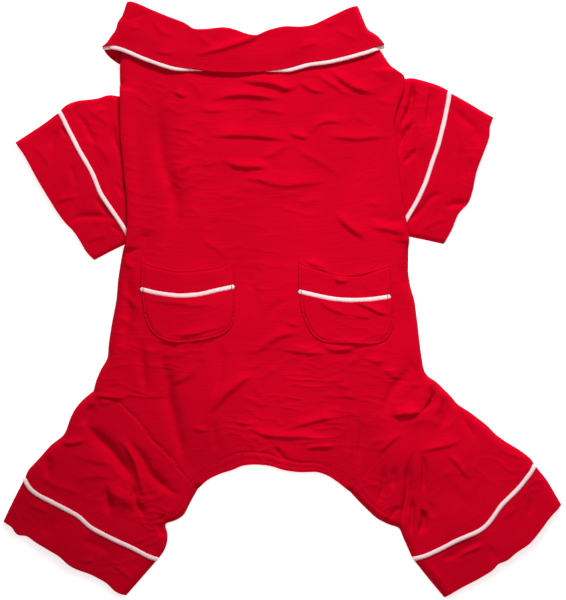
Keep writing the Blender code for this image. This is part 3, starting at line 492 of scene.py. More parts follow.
def patch(near, far, left, right, across, down):
    """Places on a four-sided piece between its edges, at shares across it and down it."""
    u, v = across[:, None], down[:, None]
    corners = near[0], near[-1], far[0], far[-1]
    return ((1 - u) * along(left, down) + u * along(right, down)
            + (1 - v) * along(near, across) + v * along(far, across)
            - (1 - v) * ((1 - u) * corners[0] + u * corners[1])
            - v * ((1 - u) * corners[2] + u * corners[3]))


def nearest(points, line):
    """How far each point is from a line, left of its travel above zero, and its share along."""
    best = np.full(len(points), np.inf)
    side, share = np.zeros(len(points)), np.zeros(len(points))
    count = len(line) - 1
    for k in range(count):
        way = line[k + 1] - line[k]
        rel = points - line[k]
        t = np.clip((rel @ way) / max(way @ way, 1e-12), 0, 1)
        gap = rel - t[:, None] * way
        distance = (gap * gap).sum(1)
        closer = distance < best
        best[closer] = distance[closer]
        side[closer] = np.sign(way[0] * rel[closer, 1] - way[1] * rel[closer, 0])
        share[closer] = (k + t[closer]) / count
    return np.sqrt(best), side, share


def edge_distance(points, lines):
    """How far each point is from the nearest of some lines."""
    return np.minimum.reduce([nearest(points, line)[0] for line in lines])


def smooth_step(value):
    share = np.clip(value, 0.0, 1.0)
    return share * share * (3.0 - 2.0 * share)


def ripple(points, size, seed):
    """Smooth, uneven swells about a size apart, between -1 and 1."""
    lattice = np.random.default_rng(seed).uniform(-1, 1, (LATTICE, LATTICE))
    spot = points / size + LATTICE_MIDDLE
    cell = np.floor(spot).astype(int)
    part = smooth_step(spot - cell)
    x, y = cell[:, 0] % (LATTICE - 1), cell[:, 1] % (LATTICE - 1)
    low = lattice[x, y] * (1 - part[:, 0]) + lattice[x + 1, y] * part[:, 0]
    high = lattice[x, y + 1] * (1 - part[:, 0]) + lattice[x + 1, y + 1] * part[:, 0]
    return low * (1 - part[:, 1]) + high * part[:, 1]


def creased(points, table):
    """The rise of the cloth in its creases: each has a crest, a steep lower side and tapering ends."""
    swells = [ripple(points, WANDER_SIZE, seed) for seed in (3, 4)]
    moved = points + np.stack(swells, axis=1) * WANDER
    rise = np.zeros(len(points))
    for path, upper, lower, height in table:
        line = smooth_line(path, step=0.002)
        reach = CREASE_REACH * max(upper, lower) * MM
        inside = ((moved > line.min(0) - reach) & (moved < line.max(0) + reach)).all(1)
        if not inside.any():
            continue
        distance, side, share = nearest(moved[inside], line)
        crest = CREST * lower * MM if height > 0 else 0.0
        offset = distance * side - crest
        taper = smooth_step(np.minimum(share, 1 - share) / CREASE_TAPER)
        width = np.where(offset > 0, upper, lower * LOWER_SIDE) * MM * (0.5 + 0.5 * taper)
        section = np.exp(-np.abs(offset / width) ** CREASE_SHARPNESS)
        rise[inside] += CREASE_DEPTH * height * MM * taper * section
    return rise


def fine_creases(points, seed):
    """Faint small creases, longer than they are wide, here and there on the cloth."""
    ways = [ripple(points, size, seed + k) for k, size in enumerate(FINE_WARP_SIZES)]
    warp = np.column_stack(ways) * FINE_WARP
    slant = points[:, 1] + FINE_SLANT * ripple(points, FINE_SLANT_SIZE, seed + 2) * points[:, 0]
    spots = np.column_stack([points[:, 0], slant]) + warp
    long_ones = 1 - np.abs(ripple(spots / FINE_STRETCH, 1.0, seed + 3))
    patches = smooth_step(ripple(points, FINE_PATCH_SIZE, seed + 4) + FINE_PATCHES)
    return FINE_DEPTH * patches * (long_ones ** FINE_SHARPNESS - FINE_LEVEL)


def unit_sheet(columns, rows):
    """A flat sheet, one unit each way, with a grain map."""
    bm = bmesh.new()
    bm.loops.layers.uv.new("grain")
    bmesh.ops.create_grid(bm, x_segments=columns, y_segments=rows, size=0.5, calc_uvs=True)
    return bm


def sewn(name, bm, surface, size, material, wall, node, closed=False):
    """Puts each point of a unit sheet where the surface has it, and makes the piece of cloth."""
    flat = np.array([v.co[:2] for v in bm.verts]) + 0.5
    for vert, point in zip(bm.verts, surface(flat[:, 0], flat[:, 1])):
        vert.co = point
    grain_map = bm.loops.layers.uv["grain"]
    for face in bm.faces:
        for loop in face.loops:
            loop[grain_map].uv = (loop[grain_map].uv[0] * size[0], loop[grain_map].uv[1] * size[1])
    if closed:
        bmesh.ops.remove_doubles(bm, verts=bm.verts, dist=WELD)
    bm.normal_update()
    middle_height = sum(v.co.z for v in bm.verts) / len(bm.verts)
    facing = sum(f.normal.z * f.calc_area() for f in bm.faces if f.calc_center_median().z > middle_height)
    if facing < 0:
        bmesh.ops.reverse_faces(bm, faces=bm.faces)
    piece = finished(name, bm, material)
    piece.data.shade_smooth()
    piece.data.set_sharp_from_angle(angle=FOLD_ANGLE)
    if wall:
        shell = piece.modifiers.new("Cloth", "SOLIDIFY")
        shell.thickness = wall
        shell.offset = -1.0
    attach(piece, "root")
    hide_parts(node)
    return piece


def rolled(share, width, roll):
    """Where a share of the cloth across a row lies, when both its edges roll a quarter round."""
    quarter = math.pi / 2 * roll
    cloth = width - 2 * roll + 2 * quarter
    way = share * cloth
    left = roll * (1 - np.cos(np.minimum(way, quarter) / roll))
    right = roll * (1 - np.cos(np.minimum(cloth - way, quarter) / roll))
    return (left + np.clip(way - quarter, 0, width - 2 * roll) + roll - right) / width


def roundness(distance, roll):
    """The height of a quarter round edge, from 0 at the edge to 1 where it is level."""
    return np.sqrt(1 - (1 - np.clip(distance / roll, 0, 1)) ** 2)


def crown(points):
    """The height of the body's middle, beside each point."""
    down = (place(0, CROWN_TOP)[1] - points[:, 1]) / (place(0, CROWN_TOP)[1] - place(0, CROWN_BOTTOM)[1])
    shares, heights = np.array(CROWN).T
    return BODY_HEIGHT * np.interp(down, shares, heights)


sides = smooth_pair(SIDE_LEFT, SIDE_RIGHT)
thighs = smooth_pair(THIGH_LEFT, THIGH_RIGHT)
leg_outer = smooth_pair(LEG_OUTER_LEFT, LEG_OUTER_RIGHT)
leg_inner = smooth_pair(LEG_INNER_LEFT, LEG_INNER_RIGHT)
body_outline = [*sides.values(), *leg_outer.values(), *leg_inner.values()]
neck_line, rear_hem = smooth_line(NECK), smooth_line(REAR_HEM)
hip_line = np.linspace(sides["left"][-1], sides["right"][-1], 200)


def side_lift(height, side):
    """How high the side's edge stands off the table, at a height of the picture."""
    first, last = SLEEVE_SPAN[side]
    inside = np.minimum(height - first, last - height)
    sleeve = smooth_step(inside / SPAN_RAMP + 1) * OVER_SLEEVE
    collar = smooth_step((COLLAR_SPAN - height) / SPAN_RAMP + 1) * OVER_COLLAR
    return np.maximum(sleeve, collar)


def picture_height(points):
    return GARMENT_TOP + (cad_box[1][1] - points[:, 1]) / PIXEL


def trouser_height(points, low=0.0):
    """The outer height of the back and legs, whose edges stand at a height of low."""
    away = edge_distance(points, body_outline)
    full = crown(points) * (EDGE_SHARE + (1 - EDGE_SHARE) * smooth_step(away / CROWN_REACH))
    full = np.maximum(full, low + SLEEVE_COVER)
    swell = ripple(points, SWELL_SIZE, 1) * SWELL + fine_creases(points, 7)
    relief = (creased(points, CREASES) + swell) * smooth_step(away / CREASE_MARGIN)
    widest = low + WIDEST
    height = widest + (full - widest) * roundness(away, BODY_ROLL) + relief
    return np.maximum(height, low + THINNEST)


def torso_and_seat(across, down):
    """Places on the back at shares across and down it, over the torso and then the seat."""
    split = TORSO_ROWS / (TORSO_ROWS + SEAT_ROWS)
    torso = patch(neck_line, hip_line, sides["left"], sides["right"], across, np.clip(down / split, 0, 1))
    seat = patch(hip_line, rear_hem, thighs["left"], thighs["right"], across,
                 np.clip((down - split) / (1 - split), 0, 1))
    return np.where((down < split)[:, None], torso, seat)


def row_ends(down):
    """The left edge of the back at shares down it, and the width there."""
    left, right = torso_and_seat(np.zeros_like(down), down), torso_and_seat(np.ones_like(down), down)
    return left, np.linalg.norm(right - left, axis=1)


def back_surface(u, v):
    """The back: its flaps roll under at the sides and turn in at the thigh seams, and the hem turns in."""
    rows = TORSO_ROWS + SEAT_ROWS
    down = np.minimum(v * (rows + HEM_ROWS) / rows, 1.0)
    turned = np.clip(v * (rows + HEM_ROWS) - rows, 0, HEM_ROWS) / HEM_ROWS
    share = FLAP_COLUMNS / BACK_COLUMNS
    flap = np.clip(np.maximum(share - u, u - 1 + share) / share, 0, 1)
    folded = smooth_step(flap * FLAP_STEEPNESS)
    # The flaps end a little short of the hem, so that they don't stick out below it
    length = length_of(sides["left"]) + length_of(thighs["left"])
    down = down * (1 - folded * FLAP_SHORTER / length) - turned * HEM_TURN / length
    on_torso = down < TORSO_ROWS / rows
    top = np.clip((u - share) / (1 - 2 * share), 0, 1)
    width = row_ends(down)[1]
    shares = rolled(top, width, np.where(on_torso, BODY_ROLL, BODY_ROLL / SEAM_ROLL_PART))
    tucked = flap * FLAP / width
    shares = np.where(u < 0.5, shares + tucked, shares - tucked)
    places = torso_and_seat(shares, down)
    height = picture_height(places)
    low = np.where(u < 0.5, side_lift(height, "left"), side_lift(height, "right"))
    low = low * smooth_step(1 - np.minimum(shares, 1 - shares) * width / LIFT_REACH)
    z = trouser_height(places, low)
    under = low + FLOOR_GAP + (WIDEST - FLOOR_GAP) * (1 - roundness(flap * FLAP, UNDER_ROLL))
    inward = z - FLAP_DROP * folded
    z = np.where(flap > 0, np.where(on_torso, under, inward), z)
    z = z - HEM_DROP * smooth_step(turned * HEM_STEEPNESS)
    return np.column_stack([places, z])


back = sewn("back_cloth", unit_sheet(BACK_COLUMNS, TORSO_ROWS + SEAT_ROWS + HEM_ROWS), back_surface,
            BACK_GRAIN, jersey, CLOTH, "back_panel")

# The belly: the under piece of jersey, flat on the table and sewn to the back along its sides.
# It stops short of the rear hem, so that the rear is open. Nothing of it shows from above.

BELLY_INSET, SLEEVE_TUCK = 0.0065, 0.011
BELLY_END = 0.84
BELLY_SWELL, BELLY_SWELL_SIZE = 0.0003, 0.03
BELLY_COLUMNS, BELLY_ROWS = 80, 110
BELLY_GRAIN = (0.18, 0.27)


def belly_surface(u, v):
    """The belly: it keeps inside the back's edges, and further in beside the sleeves."""
    down = v * (TORSO_ROWS + BELLY_END * SEAT_ROWS) / (TORSO_ROWS + SEAT_ROWS)
    left, width = row_ends(down)
    height = picture_height(left)
    lift = np.maximum(side_lift(height, "left"), side_lift(height, "right"))
    inset = (BELLY_INSET + lift / OVER_SLEEVE * SLEEVE_TUCK) / width
    places = torso_and_seat(inset + u * (1 - 2 * inset), down)
    raised = smooth_step((COLLAR_SPAN - picture_height(places)) / SPAN_RAMP + 1) * OVER_COLLAR
    z = FLOOR_GAP + CLOTH + raised + (ripple(places, BELLY_SWELL_SIZE, 5) + 1) * BELLY_SWELL
    return np.column_stack([places, z])


belly = sewn("belly_cloth", unit_sheet(BELLY_COLUMNS, BELLY_ROWS), belly_surface, BELLY_GRAIN, jersey,
             CLOTH, "belly_panel")

# The legs: two tubes of jersey, sewn to the back along the thigh seams and to their cuffs' piping.
# They are laid flat, so the upper layer carries the creases and the lower one lies on the table.
# The ends of the cloth turn in at the seams.

TUBE_COLUMNS, LEG_ROWS = 200, 92
UPPER_SHARE = 0.66
LEG_CLOTH = 0.095
# Rows of mesh for the part turned in and for the depth of the turn
FOLD_ROWS = 3, 2
SEAM_TURN, TURN_DEPTH = 0.006, 0.0018
SEAM_DIP, SEAM_SOFTNESS = 0.0001, 0.0015

CUFF_OUTER_LEFT = [(23.4, 480), (12.5, 501), (2.6, 522)]
CUFF_INNER_LEFT = [(157.5, 560), (141, 579), (126, 596)]
CUFF_OUTER_RIGHT = [(535, 465), (547.5, 480), (562, 505)]
CUFF_INNER_RIGHT = [(413.5, 560), (431, 582), (444.5, 598)]
LEG_SEAM_LEFT = [(24.6, 478), (31, 489), (42, 496), (55, 502), (80, 515), (91, 526), (112, 537),
                 (133, 547), (147, 555), (158.6, 559)]
LEG_SEAM_RIGHT = [(534.5, 464), (530, 472), (520, 485), (510, 495), (500, 504), (494, 513), (487, 523),
                  (478, 530), (465, 535.5), (455, 540), (440, 548), (425, 555), (412.5, 558.5)]

cuff_outer = smooth_pair(CUFF_OUTER_LEFT, CUFF_OUTER_RIGHT)
cuff_inner = smooth_pair(CUFF_INNER_LEFT, CUFF_INNER_RIGHT)
leg_seams = smooth_pair(LEG_SEAM_LEFT, LEG_SEAM_RIGHT)
body_outline += [*cuff_outer.values(), *cuff_inner.values()]


def tube_surface(near, far, left, right, height, roll, turns, rows):
    """The surface of a flat tube of cloth between two ends; turns are how far each end turns in."""
    length = (length_of(left) + length_of(right)) / 2
    inner, wall = FOLD_ROWS
    marks = np.array([0, inner, inner + wall, rows - inner - wall, rows - inner, rows]) / rows
    ways = [-turns[0], -TURN_DEPTH, 0, length, length + TURN_DEPTH, length + turns[1]]

    def surface(u, v):
        way = np.interp(v, marks, ways)
        turned = np.maximum(np.maximum(-way, way - length), 0)
        sink = np.minimum(turned, TURN_DEPTH)
        inside = (turned - sink) / length
        down = np.where(way < 0, inside, np.where(way > length, 1 - inside, way / length))
        on_top = u <= UPPER_SHARE
        share = np.where(on_top, u / UPPER_SHARE, (1 - u) / (1 - UPPER_SHARE))
        width = np.linalg.norm(along(left, down) - along(right, down), axis=1)
        shares = rolled(share, width, roll)
        shares = 0.5 + (shares - 0.5) * (1 - 2 * sink / width)
        places = patch(near, far, left, right, shares, down)
        seam = np.minimum(np.abs(way), np.abs(length - way))
        dip = SEAM_DIP * (1 - roundness(seam, SEAM_SOFTNESS))
        top = height(places) - dip - sink
        edge = np.minimum(shares, 1 - shares) * width
        bottom = FLOOR_GAP + WIDEST * (1 - roundness(edge, UNDER_ROLL)) + sink
        return np.column_stack([places, np.where(on_top, top, bottom)])
    return surface


for side in ("left", "right"):
    surface = tube_surface(thighs[side], leg_seams[side], leg_outer[side], leg_inner[side],
                           trouser_height, BODY_ROLL, (SEAM_TURN, SEAM_TURN), LEG_ROWS)
    around = 2 * length_of(thighs[side])
    leg = sewn(f"{side}_leg", unit_sheet(TUBE_COLUMNS, LEG_ROWS), surface, (around, LEG_CLOTH), jersey,
               CLOTH, f"leg_{side}", closed=True)

# The leg cuffs: a straight band of jersey round each leg, below the piping.
# Each is laid flat with its leg, and its hem is turned in and sewn.

CUFF_ROWS = 48
LEG_CUFF_CLOTH = 0.045
CUFF_HEM_TURN = 0.012
CUFF_GAP = 0.0011
MIDDLE = (0.0, 0.0)

LEG_HEM_LEFT = [(2.6, 522), (12.6, 527), (15.4, 534), (19.6, 536), (26.7, 535), (34, 541), (46, 548),
                (60, 556), (69, 565), (79, 570), (91, 574), (107, 583), (115, 592), (126, 596)]
LEG_HEM_RIGHT = [(562, 505), (550, 517.5), (543, 527), (536, 536), (529, 544), (516, 552), (506, 561),
                 (497, 563), (494, 569), (478, 579), (461, 588), (444.5, 598)]


def unit_rows(vectors):
    """The vectors, each one unit long."""
    return vectors / np.linalg.norm(vectors, axis=1)[:, None]


def beside(line):
    """The level direction across a line, at each of its points."""
    way = unit_rows(np.gradient(line[:, :2], axis=0))
    return np.column_stack([way[:, 1], -way[:, 0], np.zeros(len(line))])


def away_from(line, centre, distance):
    """A line moved sideways, away from a centre."""
    across = beside(line)[:, :2]
    if ((line - centre) * across).sum() < 0:
        across = -across
    return line + across * distance


leg_hems = smooth_pair(LEG_HEM_LEFT, LEG_HEM_RIGHT)
for side in ("left", "right"):
    near = away_from(leg_seams[side], MIDDLE, CUFF_GAP)
    surface = tube_surface(near, leg_hems[side], cuff_outer[side], cuff_inner[side],
                           trouser_height, BODY_ROLL, (SEAM_TURN, CUFF_HEM_TURN), CUFF_ROWS)
    around = 2 * length_of(leg_hems[side])
    cuff = sewn(f"{side}_leg_cuff", unit_sheet(TUBE_COLUMNS, CUFF_ROWS), surface,
                (around, LEG_CUFF_CLOTH), jersey, CLOTH, f"leg_cuff_{side}", closed=True)

# The sleeves: two short tubes of jersey, whose inner ends are tucked under the back.
# They are flatter than the body, which lies on them.

SLEEVE_HEIGHT, SLEEVE_EDGE_SHARE, SLEEVE_CROWN_REACH = 0.0072, 0.74, 0.03
SLEEVE_ROLL = 0.0032
SLEEVE_ROWS = 66
SLEEVE_CLOTH = 0.04
SLEEVE_SWELL, SLEEVE_SWELL_SIZE, SLEEVE_FINE = 0.0005, 0.018, 0.7
UNDER_BACK = 0.006
ROOT_TURN = 0.003

SLEEVE_ROOT_LEFT = [(136, 97), (148, 130), (152, 170), (150, 205), (146, 238)]
SLEEVE_TOP_LEFT = [(136, 97), (119, 96), (112, 94.2), (105.6, 94.4), (99.5, 97.5), (88, 99), (76.5, 100),
                   (68, 103), (62, 106.7), (59.7, 110.5)]
SLEEVE_LOW_LEFT = [(146, 238), (138, 239.5), (131, 241)]
SLEEVE_SEAM_LEFT = [(59.7, 110.5), (69, 129), (81, 152), (93.4, 173), (101, 193), (115, 213),
                    (125.5, 229), (131, 241)]
SLEEVE_ROOT_RIGHT = [(390, 84), (380, 120), (378, 165), (382, 205), (385, 233)]
SLEEVE_TOP_RIGHT = [(390, 84), (399, 80), (406.6, 77.6), (412, 77), (422, 79.5), (433, 82.7),
                    (441, 85.5), (449, 90)]
SLEEVE_LOW_RIGHT = [(385, 233), (391, 233), (397, 233)]
SLEEVE_SEAM_RIGHT = [(449, 90), (447, 104), (442.5, 125), (437, 146), (430, 166), (425, 182),
                     (417, 200), (406, 218), (397, 233)]
SLEEVE_CUFF_TOP_LEFT = [(58.5, 111.5), (45, 122), (30, 132), (14.5, 142)]
SLEEVE_CUFF_LOW_LEFT = [(131, 242), (124, 244.5), (110, 251.5), (94, 260)]
SLEEVE_CUFF_TOP_RIGHT = [(450.5, 92), (466, 100.5), (480, 109), (494, 117)]
SLEEVE_CUFF_LOW_RIGHT = [(398, 234), (409, 236.5), (426, 240), (444, 244)]

SLEEVE_CREASES = [
    # The left sleeve and its cuff
    ([(74, 108), (82, 122), (90, 135), (101, 150)], 2.4, 2.4, -0.9),
    ([(96, 112), (106, 111)], 2.2, 1.6, 0.8),
    ([(111, 120), (115, 138), (119, 152), (121, 166)], 2.4, 2.4, -2.4),
    ([(123, 172), (124, 190), (126, 203)], 1.9, 1.9, -2.6),
    ([(115, 181), (120, 190), (126, 200)], 1.8, 1.8, -1.0),
    ([(84, 108), (100, 118), (108, 132)], 3.0, 2.4, 0.5),
    ([(86, 140), (100, 150), (108, 166)], 3.0, 2.4, 0.5),
    ([(55, 205), (65, 200), (80, 197)], 2.4, 1.6, 0.8),
    ([(66, 226), (80, 217), (100, 216), (120, 219)], 2.6, 2.2, -1.5),
    ([(51, 152), (54, 138), (58, 126)], 2.4, 2.4, -0.9),
    ([(71, 163), (76, 187)], 2.2, 2.2, -0.7),
    ([(92, 196), (102, 207), (113, 218)], 1.9, 1.9, -1.2),
    ([(111, 224), (121, 234)], 1.8, 1.8, -0.8),
    ([(60, 125), (66, 138)], 1.1, 1.1, -1.2),
    ([(30, 148), (42, 156), (50, 170)], 2.8, 2.2, 0.5),
    ([(84, 246), (96, 238), (112, 236)], 2.4, 2.0, 0.5),
    # The right sleeve and its cuff
    ([(410, 78), (412, 92), (410, 106), (404, 118), (399, 130)], 2.1, 2.1, -3.2),
    ([(432, 84), (429, 110), (426, 132)], 2.0, 2.0, -1.7),
    ([(399, 109), (409, 105)], 2.0, 1.6, 0.8),
    ([(399, 122), (397, 140), (398, 160)], 2.0, 2.0, -3.2),
    ([(398, 152), (405, 134), (415, 120)], 1.7, 1.7, -2.6),
    ([(399, 164), (408, 160), (417, 147)], 1.8, 1.8, -1.5),
    ([(401, 178), (404, 197)], 1.8, 1.8, -1.1),
    ([(414, 120), (420, 140), (418, 160)], 3.0, 2.4, 0.6),
    ([(449, 103), (462, 118), (475, 130), (484, 152)], 3.0, 3.0, -1.4),
    ([(460, 138), (462, 165), (465, 187)], 2.2, 2.2, -0.8),
    ([(443, 208), (455, 203), (465, 205), (471, 199)], 2.8, 2.4, -1.4),
    ([(423, 206), (432, 197), (442, 192)], 2.0, 2.0, -1.1),
    ([(404, 223), (420, 212), (433, 199)], 2.2, 2.2, -1.4),
    ([(468, 158), (470, 177)], 1.9, 1.9, -0.6),
    ([(420, 232), (434, 224), (450, 222)], 2.6, 2.0, 0.5),
]

sleeve_root = smooth_pair(SLEEVE_ROOT_LEFT, SLEEVE_ROOT_RIGHT)
sleeve_top = smooth_pair(SLEEVE_TOP_LEFT, SLEEVE_TOP_RIGHT)
sleeve_low = smooth_pair(SLEEVE_LOW_LEFT, SLEEVE_LOW_RIGHT)
sleeve_seams = smooth_pair(SLEEVE_SEAM_LEFT, SLEEVE_SEAM_RIGHT)
cuff_top = smooth_pair(SLEEVE_CUFF_TOP_LEFT, SLEEVE_CUFF_TOP_RIGHT)
cuff_low = smooth_pair(SLEEVE_CUFF_LOW_LEFT, SLEEVE_CUFF_LOW_RIGHT)
sleeve_outline = [*sleeve_top.values(), *sleeve_low.values(), *cuff_top.values(), *cuff_low.values()]


def sleeve_height(points):
    """The outer height of the sleeves and their cuffs; under the back they have no creases."""
    away = edge_distance(points, sleeve_outline)
    open_air = np.full(len(points), np.inf)
    for side, sign in (("left", -1), ("right", 1)):
        distance, way, share = nearest(points, sides[side])
        open_air = np.where(points[:, 0] * sign > 0, distance * way * sign, open_air)
    free = smooth_step(open_air / UNDER_BACK)
    middle_share = smooth_step(away / SLEEVE_CROWN_REACH)
    full = SLEEVE_HEIGHT * (SLEEVE_EDGE_SHARE + (1 - SLEEVE_EDGE_SHARE) * middle_share)
    swell = ripple(points, SLEEVE_SWELL_SIZE, 11) * SLEEVE_SWELL + fine_creases(points, 13) * SLEEVE_FINE
    relief = (creased(points, SLEEVE_CREASES) + swell) * smooth_step(away / SLEEVE_ROLL) * free
    return WIDEST + (full - WIDEST) * roundness(away, SLEEVE_ROLL) + relief


for side in ("left", "right"):
    surface = tube_surface(sleeve_root[side], sleeve_seams[side], sleeve_top[side], sleeve_low[side],
                           sleeve_height, SLEEVE_ROLL, (ROOT_TURN, SEAM_TURN), SLEEVE_ROWS)
    around = length_of(sleeve_root[side]) + length_of(sleeve_seams[side])
    sleeve = sewn(f"{side}_sleeve", unit_sheet(TUBE_COLUMNS, SLEEVE_ROWS), surface,
                  (around, SLEEVE_CLOTH), jersey, CLOTH, f"sleeve_{side}", closed=True)

# The sleeve cuffs: a band of jersey round each sleeve, outside the piping, with its hem turned in.
# They are made as the leg cuffs are, and lie flat on the table.

SLEEVE_CUFF_CLOTH = 0.048

SLEEVE_HEM_LEFT = [(14.5, 142), (24, 155), (33.7, 173), (41, 186), (49, 199), (57, 212), (65, 223),
                   (73.5, 231), (80, 241), (86.5, 253), (94, 260)]
SLEEVE_HEM_RIGHT = [(494, 117), (489.5, 127), (490, 137), (484, 152), (477.6, 168), (475, 178),
                    (473, 190), (469, 203), (458, 214), (452, 230), (444, 244)]

sleeve_hems = smooth_pair(SLEEVE_HEM_LEFT, SLEEVE_HEM_RIGHT)
for side in ("left", "right"):
    near = away_from(sleeve_seams[side], MIDDLE, CUFF_GAP)
    surface = tube_surface(near, sleeve_hems[side], cuff_top[side], cuff_low[side],
                           sleeve_height, SLEEVE_ROLL, (SEAM_TURN, CUFF_HEM_TURN), CUFF_ROWS)
    around = 2 * length_of(sleeve_hems[side])
    cuff = sewn(f"{side}_sleeve_cuff", unit_sheet(TUBE_COLUMNS, CUFF_ROWS), surface,
                (around, SLEEVE_CUFF_CLOTH), jersey, CLOTH, f"sleeve_cuff_{side}", closed=True)

# The piping of the cuffs: a cord of about 3 mm in a white bias strip, sewn into each cuff's seam.
# It goes all the way round, over the upper layer and back under the lower one.

# Both tones of the piping are painted a little pink, as painted bounce light from the red jersey; noise
# mixes them at random
PIPING_BOUNCE_PINK, PIPING_BOUNCE_PINK_DEEP = "#ffdadd", "#f8cfd2"
CORD_LAY = 0.0032
CORD_RADIUS, CORD_FLATNESS = 0.0014, 0.46
CORD_SIDES, CORD_STEP = 14, 0.0008
CORD_SEAT = 0.0004
# The cord's lumps and sway, with their sizes, and the share of a closed one over which they fade out
# to where its ends meet
CORD_LUMPS, CORD_LUMP_SIZE = 0.07, 0.004
CORD_WANDER, CORD_WANDER_SIZE = 0.00012, 0.007
CORD_BLEND = 0.03
CORD_END_ROLL, CORD_END_SHARE = 0.0006, 0.02
# The seam's height is read this share nearer to its middle, off the rolled edges
SEAM_PULL = 0.015

# White cotton poplin, woven and cut on the bias over a twisted cord: smooth and matt. Its colour is
# painted a little pink for the light that the red jersey beside it throws on it. Its threads are too fine
# to show, so only the cord's twist is drawn.
poplin, tree, shader, grain = cloth_material("cotton_poplin_piping", 0.75, 0.12)
lay = add(tree, "ShaderNodeMapping", {"Vector": grain, "Scale": (1 / CORD_LAY, 1 / CORD_LAY, 1.0)})
twist = add(tree, "ShaderNodeTexWave", {"Vector": lay.outputs[0], "Scale": BANDS, "Distortion": 1.2,
                                        "Detail": 2.0}, bands_direction="DIAGONAL")
soil = add(tree, "ShaderNodeTexNoise", {"Vector": lay.outputs[0], "Scale": 0.8, "Detail": 3.0})
share = add(tree, "ShaderNodeMapRange", {"Value": soil.outputs["Fac"], "From Min": 0.3, "From Max": 0.6})
two_colours(tree, shader, share.outputs["Result"], PIPING_BOUNCE_PINK, PIPING_BOUNCE_PINK_DEEP)
ribs = add(tree, "ShaderNodeBump", {"Height": twist.outputs["Fac"], "Strength": 0.1, "Distance": 0.0002})
tree.links.new(ribs.outputs["Normal"], shader.inputs["Normal"])


def cord_surface(path, across, closed):
    """The surface of a cord along a path; across is the level direction beside it."""
    ways = lengths_along(path)

    def surface(u, v):
        spot = v * ways[-1]
        centre, side_way = read_off(spot, ways, path), read_off(spot, ways, across)
        tangent = unit_rows(read_off(spot, ways, np.gradient(path, ways, axis=0)))
        up = unit_rows(np.cross(side_way, tangent))
        blend = smooth_step(np.minimum(v, 1 - v) / CORD_BLEND) if closed else 1.0
        lumps = ripple(np.column_stack([spot, spot * 0 + 0.1]), CORD_LUMP_SIZE, 21) * blend
        sway = ripple(np.column_stack([spot, spot * 0 + 0.3]), CORD_WANDER_SIZE, 22) * blend
        radius = CORD_RADIUS * (1 + CORD_LUMPS * lumps)
        if not closed:
            end = np.minimum(spot, ways[-1] - spot)
            radius = radius * np.maximum(roundness(end, CORD_END_ROLL), CORD_END_SHARE)
        turn = u * 2 * math.pi
        return (centre + side_way * (sway * CORD_WANDER + radius * np.cos(turn))[:, None]
                + up * (CORD_FLATNESS * radius * np.sin(turn))[:, None])
    return surface, float(ways[-1])


def sewn_cord(name, path, across, node, closed):
    """A piece of piping along a path."""
    surface, length = cord_surface(path, across, closed)
    sewn(name, unit_sheet(CORD_SIDES, int(length / CORD_STEP)), surface,
         (2 * math.pi * CORD_RADIUS, length), poplin, 0, node, closed=True)


def softened(path, reach, closed):
    """A path with its corners rounded over a reach of points."""
    weights = np.hanning(2 * reach + 3)[1:-1]
    weights /= weights.sum()
    if closed:
        padded = np.concatenate([path[-reach - 1:-1], path, path[1:reach + 1]])
    else:
        padded = np.concatenate([2 * path[0] - path[reach:0:-1], path,
                                 2 * path[-1] - path[-2:-reach - 2:-1]])
    return np.stack([np.convolve(padded[:, k], weights, "valid") for k in range(path.shape[1])], axis=1)


def cord_round(line, levels, foot):
    """The path of a cord round a flat tube of cloth, along a seam line, and the direction beside it."""
    across = softened(beside(line), 6, False)
    top = np.column_stack([line, levels])
    inner = slice(2, -2)
    bottom = np.column_stack([line, np.full(len(line), foot)])[inner][::-1]
    middle = [np.array([[*line[k], (top[k, 2] + foot) / 2]]) for k in (-1, 0)]
    path = np.concatenate([top[inner], middle[0], bottom, middle[1], top[inner][:1]])
    across = np.concatenate([across[inner], across[-1:], across[inner][::-1], across[:1],
                             across[inner][:1]])
    ways = lengths_along(path)
    even = np.linspace(0, ways[-1], int(ways[-1] / CORD_STEP) + 1)
    return softened(read_off(even, ways, path), 3, True), unit_rows(read_off(even, ways, across))


for limb, seams, height in (("leg", leg_seams, trouser_height), ("sleeve", sleeve_seams, sleeve_height)):
    for side in ("left", "right"):
        line = away_from(seams[side], MIDDLE, CUFF_GAP / 2)
        pulled = (1 - SEAM_PULL) * line + SEAM_PULL * seams[side].mean(0)
        levels = np.maximum(height(pulled) - SEAM_DIP + CORD_SEAT, 2 * CORD_RADIUS)
        path, across = cord_round(line, levels, CORD_RADIUS + FLOOR_GAP)
        sewn_cord(f"{side}_{limb}_cord", path, across, f"{limb}_piping_{side}", True)

# The collar: a wide band of jersey round the neck, folded over on itself and laid flat.
# Its fall lies on the back, its fold is the top edge of the garment, and its inner end turns in to the
# neck. Seen from above, the lower side's fall shows as a dark sliver at each end.

COLLAR_ABOVE, COLLAR_UNDER = 0.0035, 0.0007
COLLAR_ROLL, FOLD_ROLL = 0.0040, 0.0016
FALL_DROOP, FALL_DROOP_REACH = 0.0011, 0.012
# The cloth's two swells: their depths and sizes
COLLAR_SWELLS = (0.0004, 0.02), (0.0001, 0.008)
COLLAR_COLUMNS, COLLAR_ROWS = 300, 66
INSIDE = 0.014

